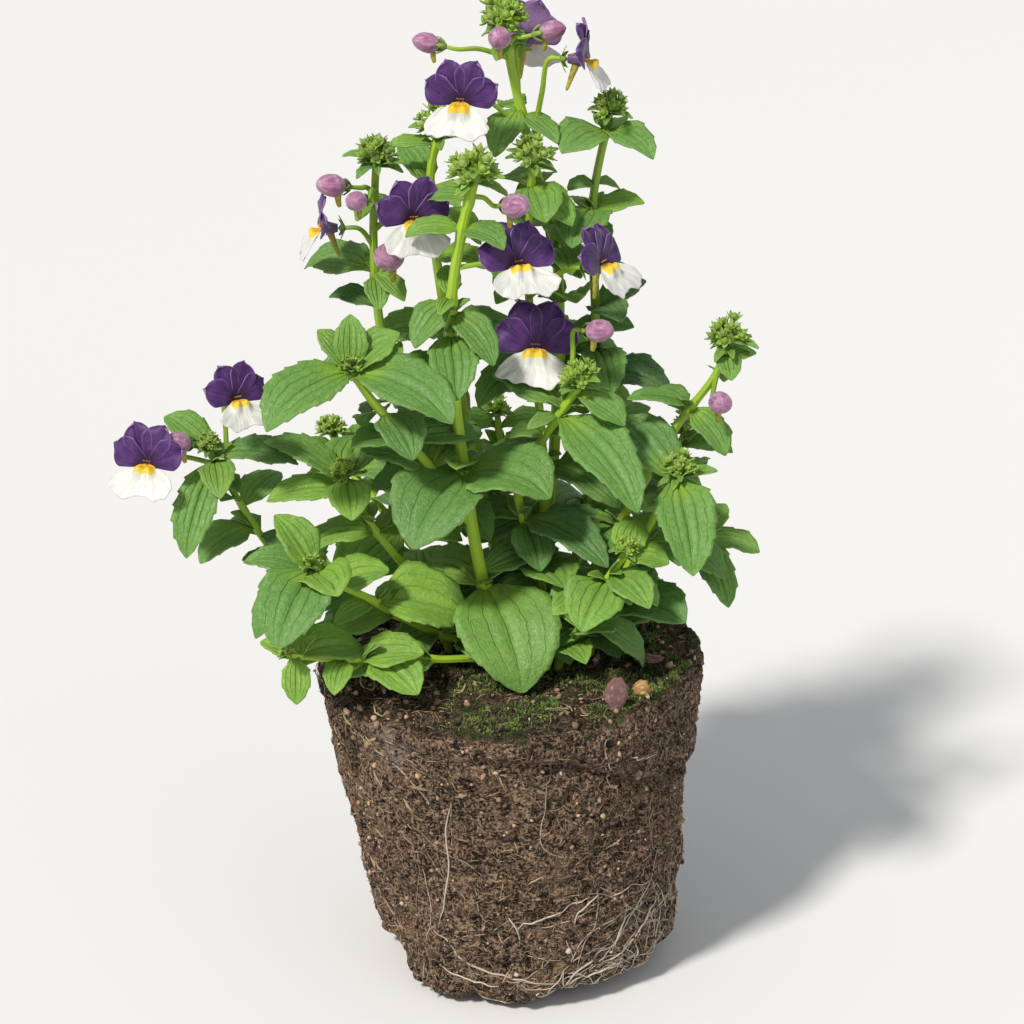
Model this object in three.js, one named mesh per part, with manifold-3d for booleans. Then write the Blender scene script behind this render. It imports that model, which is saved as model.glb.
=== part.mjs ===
// A nemesia plug plant: a pot-shaped root ball, lifted out of its pot, with leafy flowering stems.
// Millimetres, +Z up. The origin is the centre of the root ball's flat underside. -Y is the front.
import * as THREE from "three";
import { mergeVertices } from "three/addons/utils/BufferGeometryUtils.js";
import Module from "manifold-3d";

const wasm = await Module();
wasm.setup();

// Driving dimensions. The root ball keeps the form of a 10.5 cm bedding-plant pot.
const BALL = {
  topRadius: 50,
  footRadius: 37.5,
  height: 84,
  topShift: -5, // the ball leans, so that its top is this far to the left of its foot
  flatRadius: 27, // the flat spot that it stands on
  rimStep: 1.4, // the band that the pot's rim left stands proud by this much
  rimDepth: 17, // the band's mean depth
  rimWave: 9, // the band is this much deeper at the right, and this much less deep at the left
  rimBlur: 2, // the step is spread over this much to both sides
  shoulder: 1.8, // the soil's edge is rounded off by this much
  footLift: 2.6, // mean height of the ragged lower edge around the flat spot
  slope: 0.045, // the soil rises to the right by this share
};
const WALL_HEIGHTS = [13, 26, 40, 54, 66, 77]; // where the wall's form is given
const SOIL_RINGS = [1, 0.95, 0.76, 0.4]; // where the soil's form is given, as shares of its radius
const BALL_SIDES = 30;
const HOLE = { depth: 8, gap: 0.7, sides: 4 }; // what each stem stands in
const RISE_FROM_SOIL = 3; // a stem is upright up to this far above the soil's lowest level
const STEM = { sides: 4, base: 1.15, tip: 0.7 }; // sides, and shares of the radius at its two ends
const BLADE = 0.6; // thickness of a leaf or petal
const CLEARANCE = 0.3; // air left between neighbours
const SLIVER = 0.04; // edges that a join leaves are tidied to within this
const LEAF_SEAT = 0.35; // a leaf starts inside its stem, this far from the stem's axis
const LEAF_LEAN = 24; // degrees that a leaf to one side turns its face to the front, where the light is
const TOOTH = 0.07; // a leaf's teeth, as a share of its half width
const OVATE = { power: 0.6, most: 0.347, neck: -0.35 }; // a leaf's outline: s^power (1 - s) / most
const FOLD = 14; // degrees that each half of a leaf rises from its midrib
const STALK_RADIUS = 0.7;
const CALYX = { star: 2.9, notch: 1.1, plain: 2, back: -1.6, rim: -0.1, front: 0.1 };
const FLOWER = {
  lobe: 10.5, // reach of the violet lobes
  lip: 12, // reach of the white lip
  tube: 4, // length of the tube
  tubeRadius: 2.1, // the tube's radius at its mouth
  footRadius: 1.1, // and where it starts
  spur: 8, // length of the spur
  palate: 1.8, // height of the lip's hump
  ruffle: 0.5, // how far the lip's rim waves to both sides
};
const LOBE_CENTRES = [-63, -21, 21, 63]; // degrees around the mouth
const LIP_EDGE = [[-78, 0.62], [-52, 0.92], [-24, 1], [0, 0.86], [24, 1], [52, 0.92], [78, 0.62]];
const LIP_ROWS = { mouth: 0.1, palate: 0.36, rim: 1 };
const BUD_RISE = 12; // degrees that a closed bud looks up
const BUD_PROFILE = [[0.04, 0.16], [0.34, 0.35], [0.78, 0.29]]; // [place, radius], as shares of its length
const BIG_HEAD = 4; // heads larger than this have twelve buds, others six

// Each stem: its foot on the soil, the points that it passes above it, its radius, its leaves and the
// size of the head at its tip. A leaf is [place on the stem, heading, length, breadth, rise, droop].
// The place counts the stem's points, 0 being its buried end and 1 the soil. Heading 0 is to the right
// and -90 to the front. The leaf leaves its stem at the rise and has bent down by the droop at its tip.
const STEMS = {
  stem_centre: {
    foot: [-6, 2],
    path: [[-11, -3, 104], [-16, -6, 137], [-19, -6, 175], [-16, -8, 199], [-13, -8, 211]],
    radius: 1.8,
    leaves: [
      [2, -67, 33, 0.8, -22, 56],
      [2, 113, 24, 0.6, 20, 60],
      [2.95, -35, 27, 0.78, 15, 56],
      [2.95, -118, 29, 0.78, 8, 60],
      [2.75, 150, 24, 0.6, 20, 60],
      [3.9, -85, 20, 0.6, -8, 46],
      [3.9, 95, 20, 0.55, 20, 60],
      [4.1, -45, 18, 0.5, -10, 46],
      [4.2, -140, 15, 0.6, -10, 50],
      [5, -20, 15, 0.55, 15, 50],
      [5, 160, 14, 0.5, 15, 50],
      [5.6, 148, 12, 0.5, 10, 30],
    ],
    head: 6,
    branch: {
      path: [[-15, -5, 123], [-25, -8, 139], [-38, -12, 157], [-43, -13, 165]],
      radius: 1.5,
      leaves: [
        [2.9, -34, 31, 0.52, 15, 56],
        [2.9, -136, 30, 0.52, 14, 56],
        [3, 150, 13, 0.6, 60, 30],
        [3, 20, 15, 0.7, 50, 30],
        [3, 92, 14, 0.6, 70, 30],
      ],
      head: 3.2,
    },
  },
  stem_front_right: {
    foot: [4, -1],
    path: [[3, 4, 106], [-2.5, 4, 128], [6, -5, 148], [12.5, -12, 161]],
    radius: 1.4,
    leaves: [
      [2, -40, 22, 0.85, 0, 40],
      [2.6, -44, 29, 0.42, 15, 50],
      [2.6, 140, 24, 0.5, 20, 60],
      [3.05, 124, 7, 0.5, 40, 30],
      [3.05, -30, 7, 0.5, 40, 30],
      [4.2, -53, 36, 0.42, 0, 50],
      [4.4, 147, 22, 0.5, 36, 40],
      [4.5, 4, 10, 0.8, 30, 30],
      [4.8, -25, 15, 0.6, -5, 40],
    ],
    head: 4.8,
  },
  stem_right: {
    foot: [10, 3],
    path: [[17, 2, 107], [27, 0, 127], [37, -2, 147], [46, -4, 161], [49, -4, 169]],
    radius: 1.3,
    leaves: [
      [2.6, -15, 24, 0.5, 5, 50],
      [2.6, 165, 20, 0.55, 15, 50],
      [3.4, 100, 20, 0.6, 20, 50],
      [3.4, -60, 16, 0.6, 10, 50],
      [4.3, -40, 15, 0.6, -18, 40],
      [4.35, -165, 17, 0.34, 32, 34],
      [5.5, 20, 9, 0.6, 20, 30],
      [5.7, -77, 8, 0.8, -20, 34],
    ],
    head: 4.8,
    branch: {
      path: [[17, 2, 107], [32, 0, 112], [45, -3, 117]],
      radius: 1,
      leaves: [
        [1.9, -5, 15, 0.55, 10, 40],
        [1.8, -60, 20, 0.45, -15, 50],
        [1.95, 60, 13, 0.5, 40, 30],
      ],
      head: 2,
    },
  },
  stem_low_right: {
    foot: [16, -5],
    path: [[23, -8, 107], [31, -12, 126], [37, -14, 139]],
    radius: 1.2,
    leaves: [
      [2.6, 165, 20, 0.5, 10, 50],
      [2.6, -15, 24, 0.5, 10, 50],
      [3.8, 118, 24, 0.58, 49, 40],
      [3.85, -80, 28, 0.52, -12, 50],
      [3.9, 0, 10, 0.4, 25, 26],
    ],
    head: 4,
  },
  stem_front: {
    foot: [8, -11],
    path: [[13, -16, 98], [19, -20, 112], [24, -22, 121]],
    radius: 1.2,
    leaves: [
      [2, 100, 16, 0.6, 20, 50],
      [3.1, -112, 19, 0.8, 0, 40],
      [3.25, -57, 17, 0.6, 12, 40],
      [3.4, -15, 14, 0.5, -15, 40],
      [3.9, 68, 11, 0.85, 50, 30],
      [3.9, -6, 11, 0.8, 8, 30],
    ],
    head: 3.2,
  },
  stem_left_front: {
    foot: [-15, -3],
    path: [[-26, -7, 94], [-38, -13, 104], [-48, -19, 112], [-53, -23, 117]],
    radius: 1.4,
    leaves: [
      [2.8, 10, 22, 0.7, 20, 50],
      [3, 5, 24, 0.9, 8, 40],
      [3.9, 5, 13, 0.9, 30, 30],
      [4.2, 179, 22, 0.42, 34, 40],
      [4.2, -150, 24, 0.55, -12, 44],
      [4.9, 150, 17, 0.62, 65, 30],
      [4.9, -50, 15, 0.9, 15, 34],
      [4.9, -110, 26, 0.7, -2, 48],
    ],
    head: 3,
  },
  stem_low_left: {
    foot: [-9, -13],
    path: [[-22, -19, 91], [-35, -25, 94], [-48, -30, 96], [-59, -34, 99]],
    radius: 1.1,
    leaves: [
      [2.2, -110, 18, 0.5, 20, 40],
      [3.3, -43, 17, 0.8, 2, 34],
      [3.5, -5, 16, 0.75, 25, 34],
      [4.75, 36, 20, 0.68, 8, 34],
      [4.8, 154, 10, 0.6, 25, 26],
      [4.8, -87, 12, 0.6, -45, 36],
    ],
    head: 2.4,
  },
  stem_left: {
    foot: [-15, 7],
    path: [[-29, 3, 104], [-40, -1, 121], [-46, -5, 135]],
    radius: 1.3,
    leaves: [
      [2.8, 0, 22, 0.5, 20, 50],
      [2.8, 180, 20, 0.5, 10, 50],
      [3.6, -174, 22, 0.42, 20, 46],
      [3.8, 178, 24, 0.38, 36, 40],
      [3.9, 79, 17, 0.78, 50, 28],
      [3.9, -80, 14, 0.8, -8, 34],
    ],
    head: 3.2,
  },
  stem_far_left: {
    foot: [-21, 1],
    path: [[-40, 0, 97], [-61, -3, 110], [-74, -6, 132], [-79, -8, 143]],
    radius: 1.2,
    leaves: [
      [2.8, 90, 20, 0.6, 20, 50],
      [3.5, -150, 18, 0.55, 0, 40],
      [3.75, 54, 15, 0.6, 36, 34],
      [4.65, -109, 27, 0.4, -20, 46],
      [4.7, -80, 15, 0.6, -12, 36],
      [4.8, 12, 22, 0.42, 12, 40],
      [4.9, 159, 16, 0.6, 45, 36],
    ],
    head: 3,
  },
  stem_tall: {
    foot: [2, 15],
    path: [[6, 21, 120], [8, 25, 160], [7, 24, 184], [0, 22, 213], [-4, 20, 231], [-6, 20, 242]],
    radius: 1.6,
    leaves: [
      [1.8, 60, 26, 0.55, 20, 60],
      [1.8, -120, 24, 0.55, 20, 60],
      [2.9, -20, 24, 0.5, 20, 60],
      [2.9, 160, 24, 0.5, 20, 60],
      [4, 75, 18, 0.5, 25, 60],
      [4, -105, 20, 0.55, 20, 50],
      [5.45, -124, 15, 0.6, -20, 36],
      [5.35, -54, 15, 0.42, 5, 36],
      [5.4, 110, 14, 0.5, 20, 50],
      [6.6, -110, 8, 0.6, 10, 50],
      [6.6, 60, 8, 0.6, 10, 50],
    ],
    head: 5.6,
  },
  stem_tall_right: {
    foot: [10, 15],
    path: [[17, 20, 130], [17, 21, 170], [16, 20, 197], [20, 19, 221]],
    radius: 1.5,
    leaves: [
      [1.7, 20, 25, 0.55, 20, 60],
      [1.7, -160, 22, 0.55, 20, 60],
      [2.7, 100, 22, 0.5, 20, 60],
      [2.7, -80, 22, 0.5, 20, 60],
      [3.95, -107, 20, 0.7, 15, 50],
      [3.95, 0, 13, 0.6, 28, 34],
      [3.9, 90, 18, 0.6, 20, 50],
      [4.8, -135, 16, 0.8, 15, 50],
      [4.8, -50, 18, 0.5, 15, 50],
      [4.8, 80, 14, 0.6, 20, 50],
    ],
    head: 4.2,
  },
  stem_tall_left: {
    foot: [-13, 15],
    path: [[-26, 15, 128], [-36, 11, 163], [-38, 8, 190], [-37, 6, 212]],
    radius: 1.5,
    leaves: [
      [1.8, 130, 25, 0.55, 20, 60],
      [1.8, -50, 22, 0.55, 20, 60],
      [2.8, -172, 22, 0.55, 20, 60],
      [2.8, 8, 20, 0.5, 20, 60],
      [3.75, 150, 22, 0.6, 20, 50],
      [3.7, -84, 11, 0.6, -10, 36],
      [3.75, -50, 12, 0.5, -5, 36],
      [4.55, -119, 9, 0.5, 0, 36],
      [4.5, 60, 10, 0.5, 10, 40],
    ],
    head: 5.2,
  },
  stem_back_left: {
    foot: [-5, 17],
    path: [[-14, 21, 130], [-23, 18, 185], [-24, 15, 207], [-22, 14, 217]],
    radius: 1.5,
    leaves: [
      [1.8, 170, 24, 0.55, 20, 60],
      [1.8, -10, 20, 0.55, 20, 60],
      [2.6, -160, 22, 0.5, 25, 60],
      [2.6, 20, 20, 0.5, 25, 60],
      [3.8, 119, 18, 0.5, 45, 36],
      [3.8, -60, 14, 0.5, 20, 50],
      [4.7, -175, 12, 0.4, 20, 40],
    ],
    head: 5.2,
  },
  stem_middle: {
    foot: [4, 8],
    path: [[4, 15, 130], [0, 15, 180], [1, 9, 211]],
    radius: 1.4,
    leaves: [
      [2, -35, 25, 0.45, 8, 46],
      [2, 145, 22, 0.5, 20, 60],
      [2.5, -120, 22, 0.5, 20, 60],
      [3.1, 60, 16, 0.55, 20, 60],
      [3.1, -120, 16, 0.55, 20, 60],
      [3.8, -75, 14, 0.85, -5, 36],
      [3.8, -40, 15, 0.6, 0, 36],
      [3.8, 120, 14, 0.6, 20, 50],
    ],
    head: 4.8,
  },
  stem_low_back_right: {
    foot: [15, 20],
    path: [[28, 32, 104], [38, 42, 118], [42, 46, 128]],
    radius: 1.3,
    leaves: [
      [2, -10, 26, 0.6, 10, 60],
      [2, 170, 22, 0.6, 20, 60],
      [3, 70, 24, 0.55, 10, 60],
      [3, -110, 20, 0.55, 30, 60],
      [3.6, -30, 16, 0.5, 30, 50],
      [3.6, 150, 14, 0.5, 30, 50],
    ],
    head: 3.6,
  },
  stem_low_back: {
    foot: [-2, 23],
    path: [[-5, 40, 106], [-7, 52, 120], [-8, 56, 129]],
    radius: 1.3,
    leaves: [
      [2, 5, 26, 0.6, 10, 60],
      [2, 175, 24, 0.6, 10, 60],
      [3, 95, 24, 0.55, 0, 60],
      [3, -85, 20, 0.55, 30, 60],
      [3.6, 0, 15, 0.5, 30, 50],
      [3.6, 180, 15, 0.5, 30, 50],
    ],
    head: 3.6,
  },
  stem_low_back_left: {
    foot: [-18, 19],
    path: [[-33, 32, 104], [-46, 42, 117], [-52, 46, 127]],
    radius: 1.3,
    leaves: [
      [2, -130, 26, 0.6, 10, 60],
      [2, 50, 22, 0.6, 20, 60],
      [3, 140, 24, 0.55, 0, 60],
      [3, -40, 20, 0.55, 30, 60],
      [3.6, 40, 15, 0.5, 30, 50],
      [3.6, -140, 15, 0.5, 30, 50],
    ],
    head: 3.6,
  },
};

// Each open bloom: the stem and the place on it that its stalk leaves, where the stalk ends, the way that
// the bloom looks (heading and rise) and its size against FLOWER.
const BLOOMS = {
  bloom_tall_left: {
    stem: "stem_tall", place: 5.1, at: [-15, 8, 228], heading: -105, rise: -5, size: 0.95,
  },
  bloom_tall_right: {
    stem: "stem_tall", place: 4.9, at: [9, 12, 236], heading: -8, rise: 0, size: 0.9,
  },
  bloom_tall_back: {
    stem: "stem_tall", place: 5.6, at: [-2, 27, 236], heading: 75, rise: 0, size: 1,
  },
  bloom_left_side: {
    stem: "stem_tall_left", place: 4, at: [-46, 4, 196], heading: -175, rise: 0, size: 0.85,
  },
  bloom_left_front: {
    stem: "stem_tall_left", place: 4.2, at: [-29, 2, 200], heading: -75, rise: 0, size: 0.95,
  },
  bloom_middle: {
    stem: "stem_centre", place: 4.6, at: [-4, -8, 190], heading: -70, rise: 20, size: 1,
  },
  bloom_right: {
    stem: "stem_middle", place: 2.9, at: [14, -2, 188], heading: -30, rise: 15, size: 0.95,
  },
  bloom_centre: {
    stem: "stem_front_right", place: 4.2, at: [2.3, 7, 164.5], heading: -95, rise: 14, size: 1.1,
  },
  bloom_low_left: {
    stem: "stem_far_left", place: 4.1, at: [-73, -8, 156], heading: -60, rise: 15, size: 0.85,
  },
  bloom_far_left: {
    stem: "stem_far_left", place: 4.6, at: [-92, -11, 141], heading: -105, rise: 10, size: 0.95,
  },
};

// Each closed bud: its stem, the place that its stalk leaves, where it sits, its heading and its length.
const BUDS = {
  bud_top_left: { stem: "stem_tall", place: 6.3, at: [-21, 13, 239], heading: 180, length: 7 },
  bud_top_front: { stem: "stem_tall", place: 6.6, at: [-7, 13, 241], heading: -90, length: 8 },
  bud_top_right: { stem: "stem_tall", place: 6.6, at: [2, 17, 241], heading: 0, length: 7 },
  bud_left_outer: { stem: "stem_tall_left", place: 4.6, at: [-44, 2, 207], heading: -150, length: 8 },
  bud_left_inner: { stem: "stem_tall_left", place: 4.7, at: [-40, -3, 205], heading: -110, length: 7 },
  bud_left_pink: { stem: "stem_tall_left", place: 3.7, at: [-32, 1, 190], heading: -110, length: 10 },
  bud_centre: { stem: "stem_centre", place: 5.7, at: [-6, -11, 206], heading: -50, length: 8.5 },
  bud_middle_right: { stem: "stem_front_right", place: 4.7, at: [14, -9, 174], heading: -40, length: 8 },
  bud_right: { stem: "stem_right", place: 5.2, at: [46, -9, 156], heading: -80, length: 8 },
  bud_low_left: { stem: "stem_far_left", place: 4.8, at: [-83, -9, 145], heading: -140, length: 8 },
};

// Roots that show on the ball's surface, as [angle, height] points. A seeded rule adds more of them,
// each over four points that climb and turn around the ball.
const ROOTS = [
  [[-110, 62], [-114, 44], [-121, 24]],
  [[-124, 22], [-112, 15], [-99, 12], [-77, 9], [-57, 16], [-43, 28], [-33, 43]],
  [[-95, 30], [-90, 27], [-73, 32], [-60, 35]],
  [[-79, 4], [-61, 12], [-50, 21], [-45, 33]],
  [[-61, 11], [-42, 18], [-31, 28], [-12, 26]],
  [[-33, 5], [-30, 16], [-39, 33], [-62, 31]],
];
const MORE_ROOTS = { count: 3, seed: 41, from: -20, apart: 60, turn: 14, lowest: 5, spread: 14 };
const ROOT_RADIUS = 0.75;
const ROOT_LIFT = 0.15; // a root's axis lies this far outside the wall

// Bits that lie on the soil: where they lie, their half sizes and their turn.
const LUMP_SINK = 0.9; // a bit's centre lies this share of its half height above the soil
const CHIPS = {
  bark_chip_upright: { at: [21.5, -37], half: [3.4, 1.1, 4], turn: 20 },
  bark_chip_flat: { at: [30.5, -10], half: [4.2, 2.4, 0.9], turn: -15 },
  fertiliser_granule: { at: [28, -30], half: [2.3, 2.3, 2], turn: 0 },
};

// Small tools for vectors, angles and seeded draws.
const V = (x, y, z) => new THREE.Vector3(x, y, z);
const rad = THREE.MathUtils.degToRad;
const UP = V(0, 0, 1);
const ramp = (x, low, high) => THREE.MathUtils.smoothstep(x, low, high);
const along = (origin, ...steps) => steps.reduce((p, [v, s]) => p.addScaledVector(v, s), origin.clone());
const seededDraws = (seed) => () => {
  seed = (seed * 16807) % 2147483647;
  return seed / 2147483647;
};

// Solids from vertices and triangles. A triangle that names one vertex twice is left out.
const isWhole = ([a, b, c]) => a !== b && b !== c && c !== a;
function toSolid(points, triangles) {
  const kept = triangles.filter(isWhole);
  const vertProperties = new Float32Array(points.flatMap((p) => [p.x, p.y, p.z]));
  const mesh = new wasm.Mesh({ numProp: 3, vertProperties, triVerts: new Uint32Array(kept.flat()) });
  return new wasm.Manifold(mesh);
}
function fromGeometry(source) {
  const bare = source.index ? source.toNonIndexed() : source.clone();
  bare.deleteAttribute("normal");
  bare.deleteAttribute("uv");
  const merged = mergeVertices(bare, 1e-4);
  const vertProperties = merged.attributes.position.array;
  return new wasm.Manifold(
    new wasm.Mesh({ numProp: 3, vertProperties, triVerts: new Uint32Array(merged.index.array) })
  );
}
// One solid from several that overlap. Crumbs that the union leaves are dropped.
function join(solids) {
  const bodies = wasm.Manifold.union(solids).simplify(SLIVER).decompose();
  return wasm.Manifold.compose(bodies.filter((body) => body.volume() > SLIVER));
}

// An open sheet of rows of points, thickened to both sides. A row of one point is a tip.
function sheet(rows, thickness) {
  const points = rows.flat();
  const starts = rows.map((_, i) => rows.slice(0, i).reduce((sum, row) => sum + row.length, 0));
  const faces = [];
  for (let i = 0; i + 1 < rows.length; i++) {
    const columns = Math.max(rows[i].length, rows[i + 1].length);
    const at = (row, j) => starts[row] + Math.min(j, rows[row].length - 1);
    for (let j = 0; j + 1 < columns; j++) {
      faces.push([at(i, j), at(i, j + 1), at(i + 1, j + 1)], [at(i, j), at(i + 1, j + 1), at(i + 1, j)]);
    }
  }
  const whole = faces.filter(isWhole);
  const normals = points.map(() => V(0, 0, 0));
  const edges = new Map();
  for (const [a, b, c] of whole) {
    const n = points[b].clone().sub(points[a]).cross(points[c].clone().sub(points[a]));
    for (const k of [a, b, c]) normals[k].add(n);
    for (const [p, q] of [[a, b], [b, c], [c, a]]) {
      if (!edges.delete(q + "," + p)) edges.set(p + "," + q, [p, q]);
    }
  }
  const half = thickness / 2;
  const both = [half, -half].flatMap((h) => points.map((p, k) => along(p, [normals[k].normalize(), h])));
  const n = points.length;
  const under = whole.map(([a, b, c]) => [a + n, c + n, b + n]);
  const rim = [...edges.values()].flatMap(([p, q]) => [[q, p, p + n], [q, p + n, q + n]]);
  return toSolid(both, [...whole, ...under, ...rim]);
}

// A closed tube through a curve's samples. radii gives the radius at each sample.
function tube(samples, radii, sides) {
  const rings = [];
  const side = V(1, 0, 0);
  samples.forEach((p, i) => {
    const before = samples[Math.max(i - 1, 0)];
    const after = samples[Math.min(i + 1, samples.length - 1)];
    const direction = after.clone().sub(before).normalize();
    side.addScaledVector(direction, -side.dot(direction)).normalize();
    const other = direction.clone().cross(side);
    rings.push(
      Array.from({ length: sides }, (_, k) => {
        const a = (2 * Math.PI * k) / sides;
        return along(p, [side, radii[i] * Math.cos(a)], [other, radii[i] * Math.sin(a)]);
      })
    );
  });
  return lathed([[samples[0]], ...rings, [samples.at(-1)]]);
}

// A closed skin over rings of points that run anticlockwise as seen from the last one. The end rings
// are single points.
function lathed(rings) {
  const points = rings.flat();
  const starts = rings.map((_, i) => rings.slice(0, i).reduce((sum, ring) => sum + ring.length, 0));
  const triangles = [];
  for (let i = 0; i + 1 < rings.length; i++) {
    const count = Math.max(rings[i].length, rings[i + 1].length);
    const at = (ring, k) => starts[ring] + (k % count) % rings[ring].length;
    for (let k = 0; k < count; k++) {
      triangles.push([at(i, k), at(i, k + 1), at(i + 1, k + 1)], [at(i, k), at(i + 1, k + 1), at(i + 1, k)]);
    }
  }
  return toSolid(points, triangles);
}

// The root ball's wall and its soil top, as formulas of angle, height and place.
const ballCentre = (z) => (BALL.topShift * z) / BALL.height;
function wallRadius(angle, z) {
  const share = z / BALL.height;
  const groove = BALL.height - BALL.rimDepth - BALL.rimWave * Math.cos(angle + 0.3);
  const rim = BALL.rimStep * ramp(z, groove - BALL.rimBlur, groove + BALL.rimBlur);
  const lumps =
    0.55 * Math.sin(3 * angle + 1.3 + z / 19) +
    0.4 * Math.sin(7 * angle - z / 7) +
    0.3 * Math.sin(13 * angle + z / 4 + 2);
  return THREE.MathUtils.lerp(BALL.footRadius, BALL.topRadius - BALL.rimStep, share) + rim + lumps;
}
function soilHeight(x, y) {
  const reach = Math.hypot(x - BALL.topShift, y);
  const lumps = 0.7 * Math.sin(x / 5 + 1) * Math.cos(y / 6) + 0.4 * Math.sin(x / 2.7 - y / 3.1);
  return BALL.height + BALL.slope * (x - BALL.topShift) + lumps * ramp(reach, 20, 34);
}
function footLift(angle) {
  return BALL.footLift + 1.2 * Math.sin(2 * angle + 0.7) + 0.7 * Math.sin(5 * angle + 2);
}
function onWall(degrees, z, out) {
  const angle = rad(degrees);
  const r = wallRadius(angle, z) + out;
  return V(ballCentre(z) + r * Math.cos(angle), r * Math.sin(angle), z);
}

function ballSkin() {
  const angles = Array.from({ length: BALL_SIDES }, (_, k) => (2 * Math.PI * k) / BALL_SIDES);
  const ring = (spot) => angles.map(spot);
  const polar = (centre, r, a, z) => V(centre + r * Math.cos(a), r * Math.sin(a), z);
  const foot = [
    ring((a) => polar(0, BALL.flatRadius, a, 0)),
    ring((a) => polar(0, wallRadius(a, 0) - 3.5, a, footLift(a))),
    ring((a) => polar(0, wallRadius(a, 0) - 0.8, a, footLift(a) + 2.2)),
  ];
  const wall = WALL_HEIGHTS.map((z) =>
    ring((a) => polar(ballCentre(z), wallRadius(a, z), a, z))
  );
  const top = SOIL_RINGS.map((share) =>
    ring((a) => {
      const r = share * wallRadius(a, BALL.height);
      const p = polar(BALL.topShift, r, a, 0);
      return p.setZ(soilHeight(p.x, p.y) - (share === 1 ? BALL.shoulder : 0));
    })
  );
  const crown = V(BALL.topShift, 0, soilHeight(BALL.topShift, 0));
  return lathed([[V(0, 0, 0)], ...foot, ...wall, ...top, [crown]]);
}

function rootTube(points) {
  const curve = new THREE.CatmullRomCurve3(points.map(([a, z]) => onWall(a, z, ROOT_LIFT)));
  const samples = curve.getPoints(2 * (points.length - 1));
  const last = samples.length - 1;
  const radii = samples.map((_, i) => ROOT_RADIUS * (1 - 0.45 * Math.abs((2 * i) / last - 1)));
  return tube(samples, radii, 3);
}
function seededRoots() {
  const { count, seed, from, apart, turn, lowest, spread } = MORE_ROOTS;
  const draw = seededDraws(seed);
  return Array.from({ length: count }, (_, k) => {
    const start = from + apart * (k + 0.5 * draw());
    const low = lowest + spread * draw();
    return [0, 1, 2, 3].map((step) => [start + turn * step, low + step * step * (1 + 2.2 * draw())]);
  });
}
function rootBall() {
  const roots = [...ROOTS, ...seededRoots()].map(rootTube);
  const holes = Object.values(STEMS).map(({ foot: [x, y], radius }) => {
    const widest = (radius * 1.1 + HOLE.gap) / Math.cos(Math.PI / HOLE.sides);
    const length = 30;
    const drill = new THREE.CylinderGeometry(widest, widest, length, HOLE.sides).rotateX(Math.PI / 2);
    drill.translate(x, y, BALL.height - HOLE.depth - HOLE.gap + length / 2);
    return fromGeometry(drill);
  });
  return join([ballSkin(), ...roots]).subtract(join(holes));
}

// A chip or granule that lies on the soil: a rough lump with a flat foot.
function chip({ at: [x, y], half: [a, b, c], turn }) {
  const lump = new THREE.IcosahedronGeometry(1, 0).scale(a, b, c).rotateZ(rad(turn));
  const under = [-a, 0, a].flatMap((i) => [-b, 0, b].map((j) => soilHeight(x + i, y + j)));
  lump.translate(x, y, Math.max(...under) + c * LUMP_SINK + CLEARANCE);
  return fromGeometry(lump);
}

// A stem's centreline, and the point at a place that counts its points. The stem is straight between
// the places where its form is given.
function centreline(points) {
  return new THREE.CatmullRomCurve3(points.map((p) => V(...p)), false, "centripetal");
}
const samplePlaces = (curve) => [0, 0.5, 1, 1.5, ...curve.points.map((_, i) => i).slice(2)];
function pointAt(curve, place) {
  const places = samplePlaces(curve);
  const next = Math.max(places.findIndex((p) => p >= place), 1);
  const [low, high] = [places[next - 1], places[next]];
  const [a, b] = [low, high].map((p) => curve.getPoint(p / (curve.points.length - 1)));
  return a.lerp(b, (place - low) / (high - low));
}

// Where a leaf's width is given along its length: at more places on leaves longer than these.
const LONG = [16, 28];
const STATIONS = [
  [0.22, 0.62],
  [0.14, 0.42, 0.74],
  [0.1, 0.32, 0.57, 0.8],
];

// A leaf: an ovate toothed blade that leaves its stem at a rise and droops along its length. spec has
// root, heading, rise, droop, length and breadth, with angles in radians. grown widens it all around.
function leafRows(spec, grown) {
  const { root, heading, rise, droop } = spec;
  const length = spec.length + grown;
  const out = V(Math.cos(heading), Math.sin(heading), 0);
  const side = V(-Math.sin(heading), Math.cos(heading), 0);
  const lean = rad(LEAF_LEAN) * Math.cos(heading);
  const fold = rad(FOLD);
  const stations = STATIONS[LONG.filter((limit) => spec.length > limit).length];
  const midAt = (s) => {
    const bend = rise - droop * s;
    const reach = (Math.sin(rise) - Math.sin(bend)) / droop;
    const climb = (Math.cos(bend) - Math.cos(rise)) / droop;
    return along(root, [out, length * reach], [UP, length * climb]);
  };
  const rows = stations.map((s, k) => {
    const bend = rise - droop * s;
    const normal = along(V(0, 0, 0), [out, -Math.sin(bend)], [UP, Math.cos(bend)]);
    const ovate = (Math.pow(s, OVATE.power) * (1 - s)) / OVATE.most;
    const tooth = k === 0 ? OVATE.neck : k % 2 ? TOOTH : -TOOTH;
    const half = 0.5 * spec.breadth * spec.length * ovate * (1 + tooth) + grown;
    const mid = midAt(s);
    const edge = (turn) => {
      const raised = fold + turn * lean;
      return along(mid, [side, turn * half * Math.cos(raised)], [normal, half * Math.sin(raised)]);
    };
    return [edge(-1), mid, edge(1)];
  });
  return [[midAt(0)], ...rows, [midAt(1)]];
}
const leafSolid = (spec, grown = 0) => sheet(leafRows(spec, grown), BLADE + 2 * grown);

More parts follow.
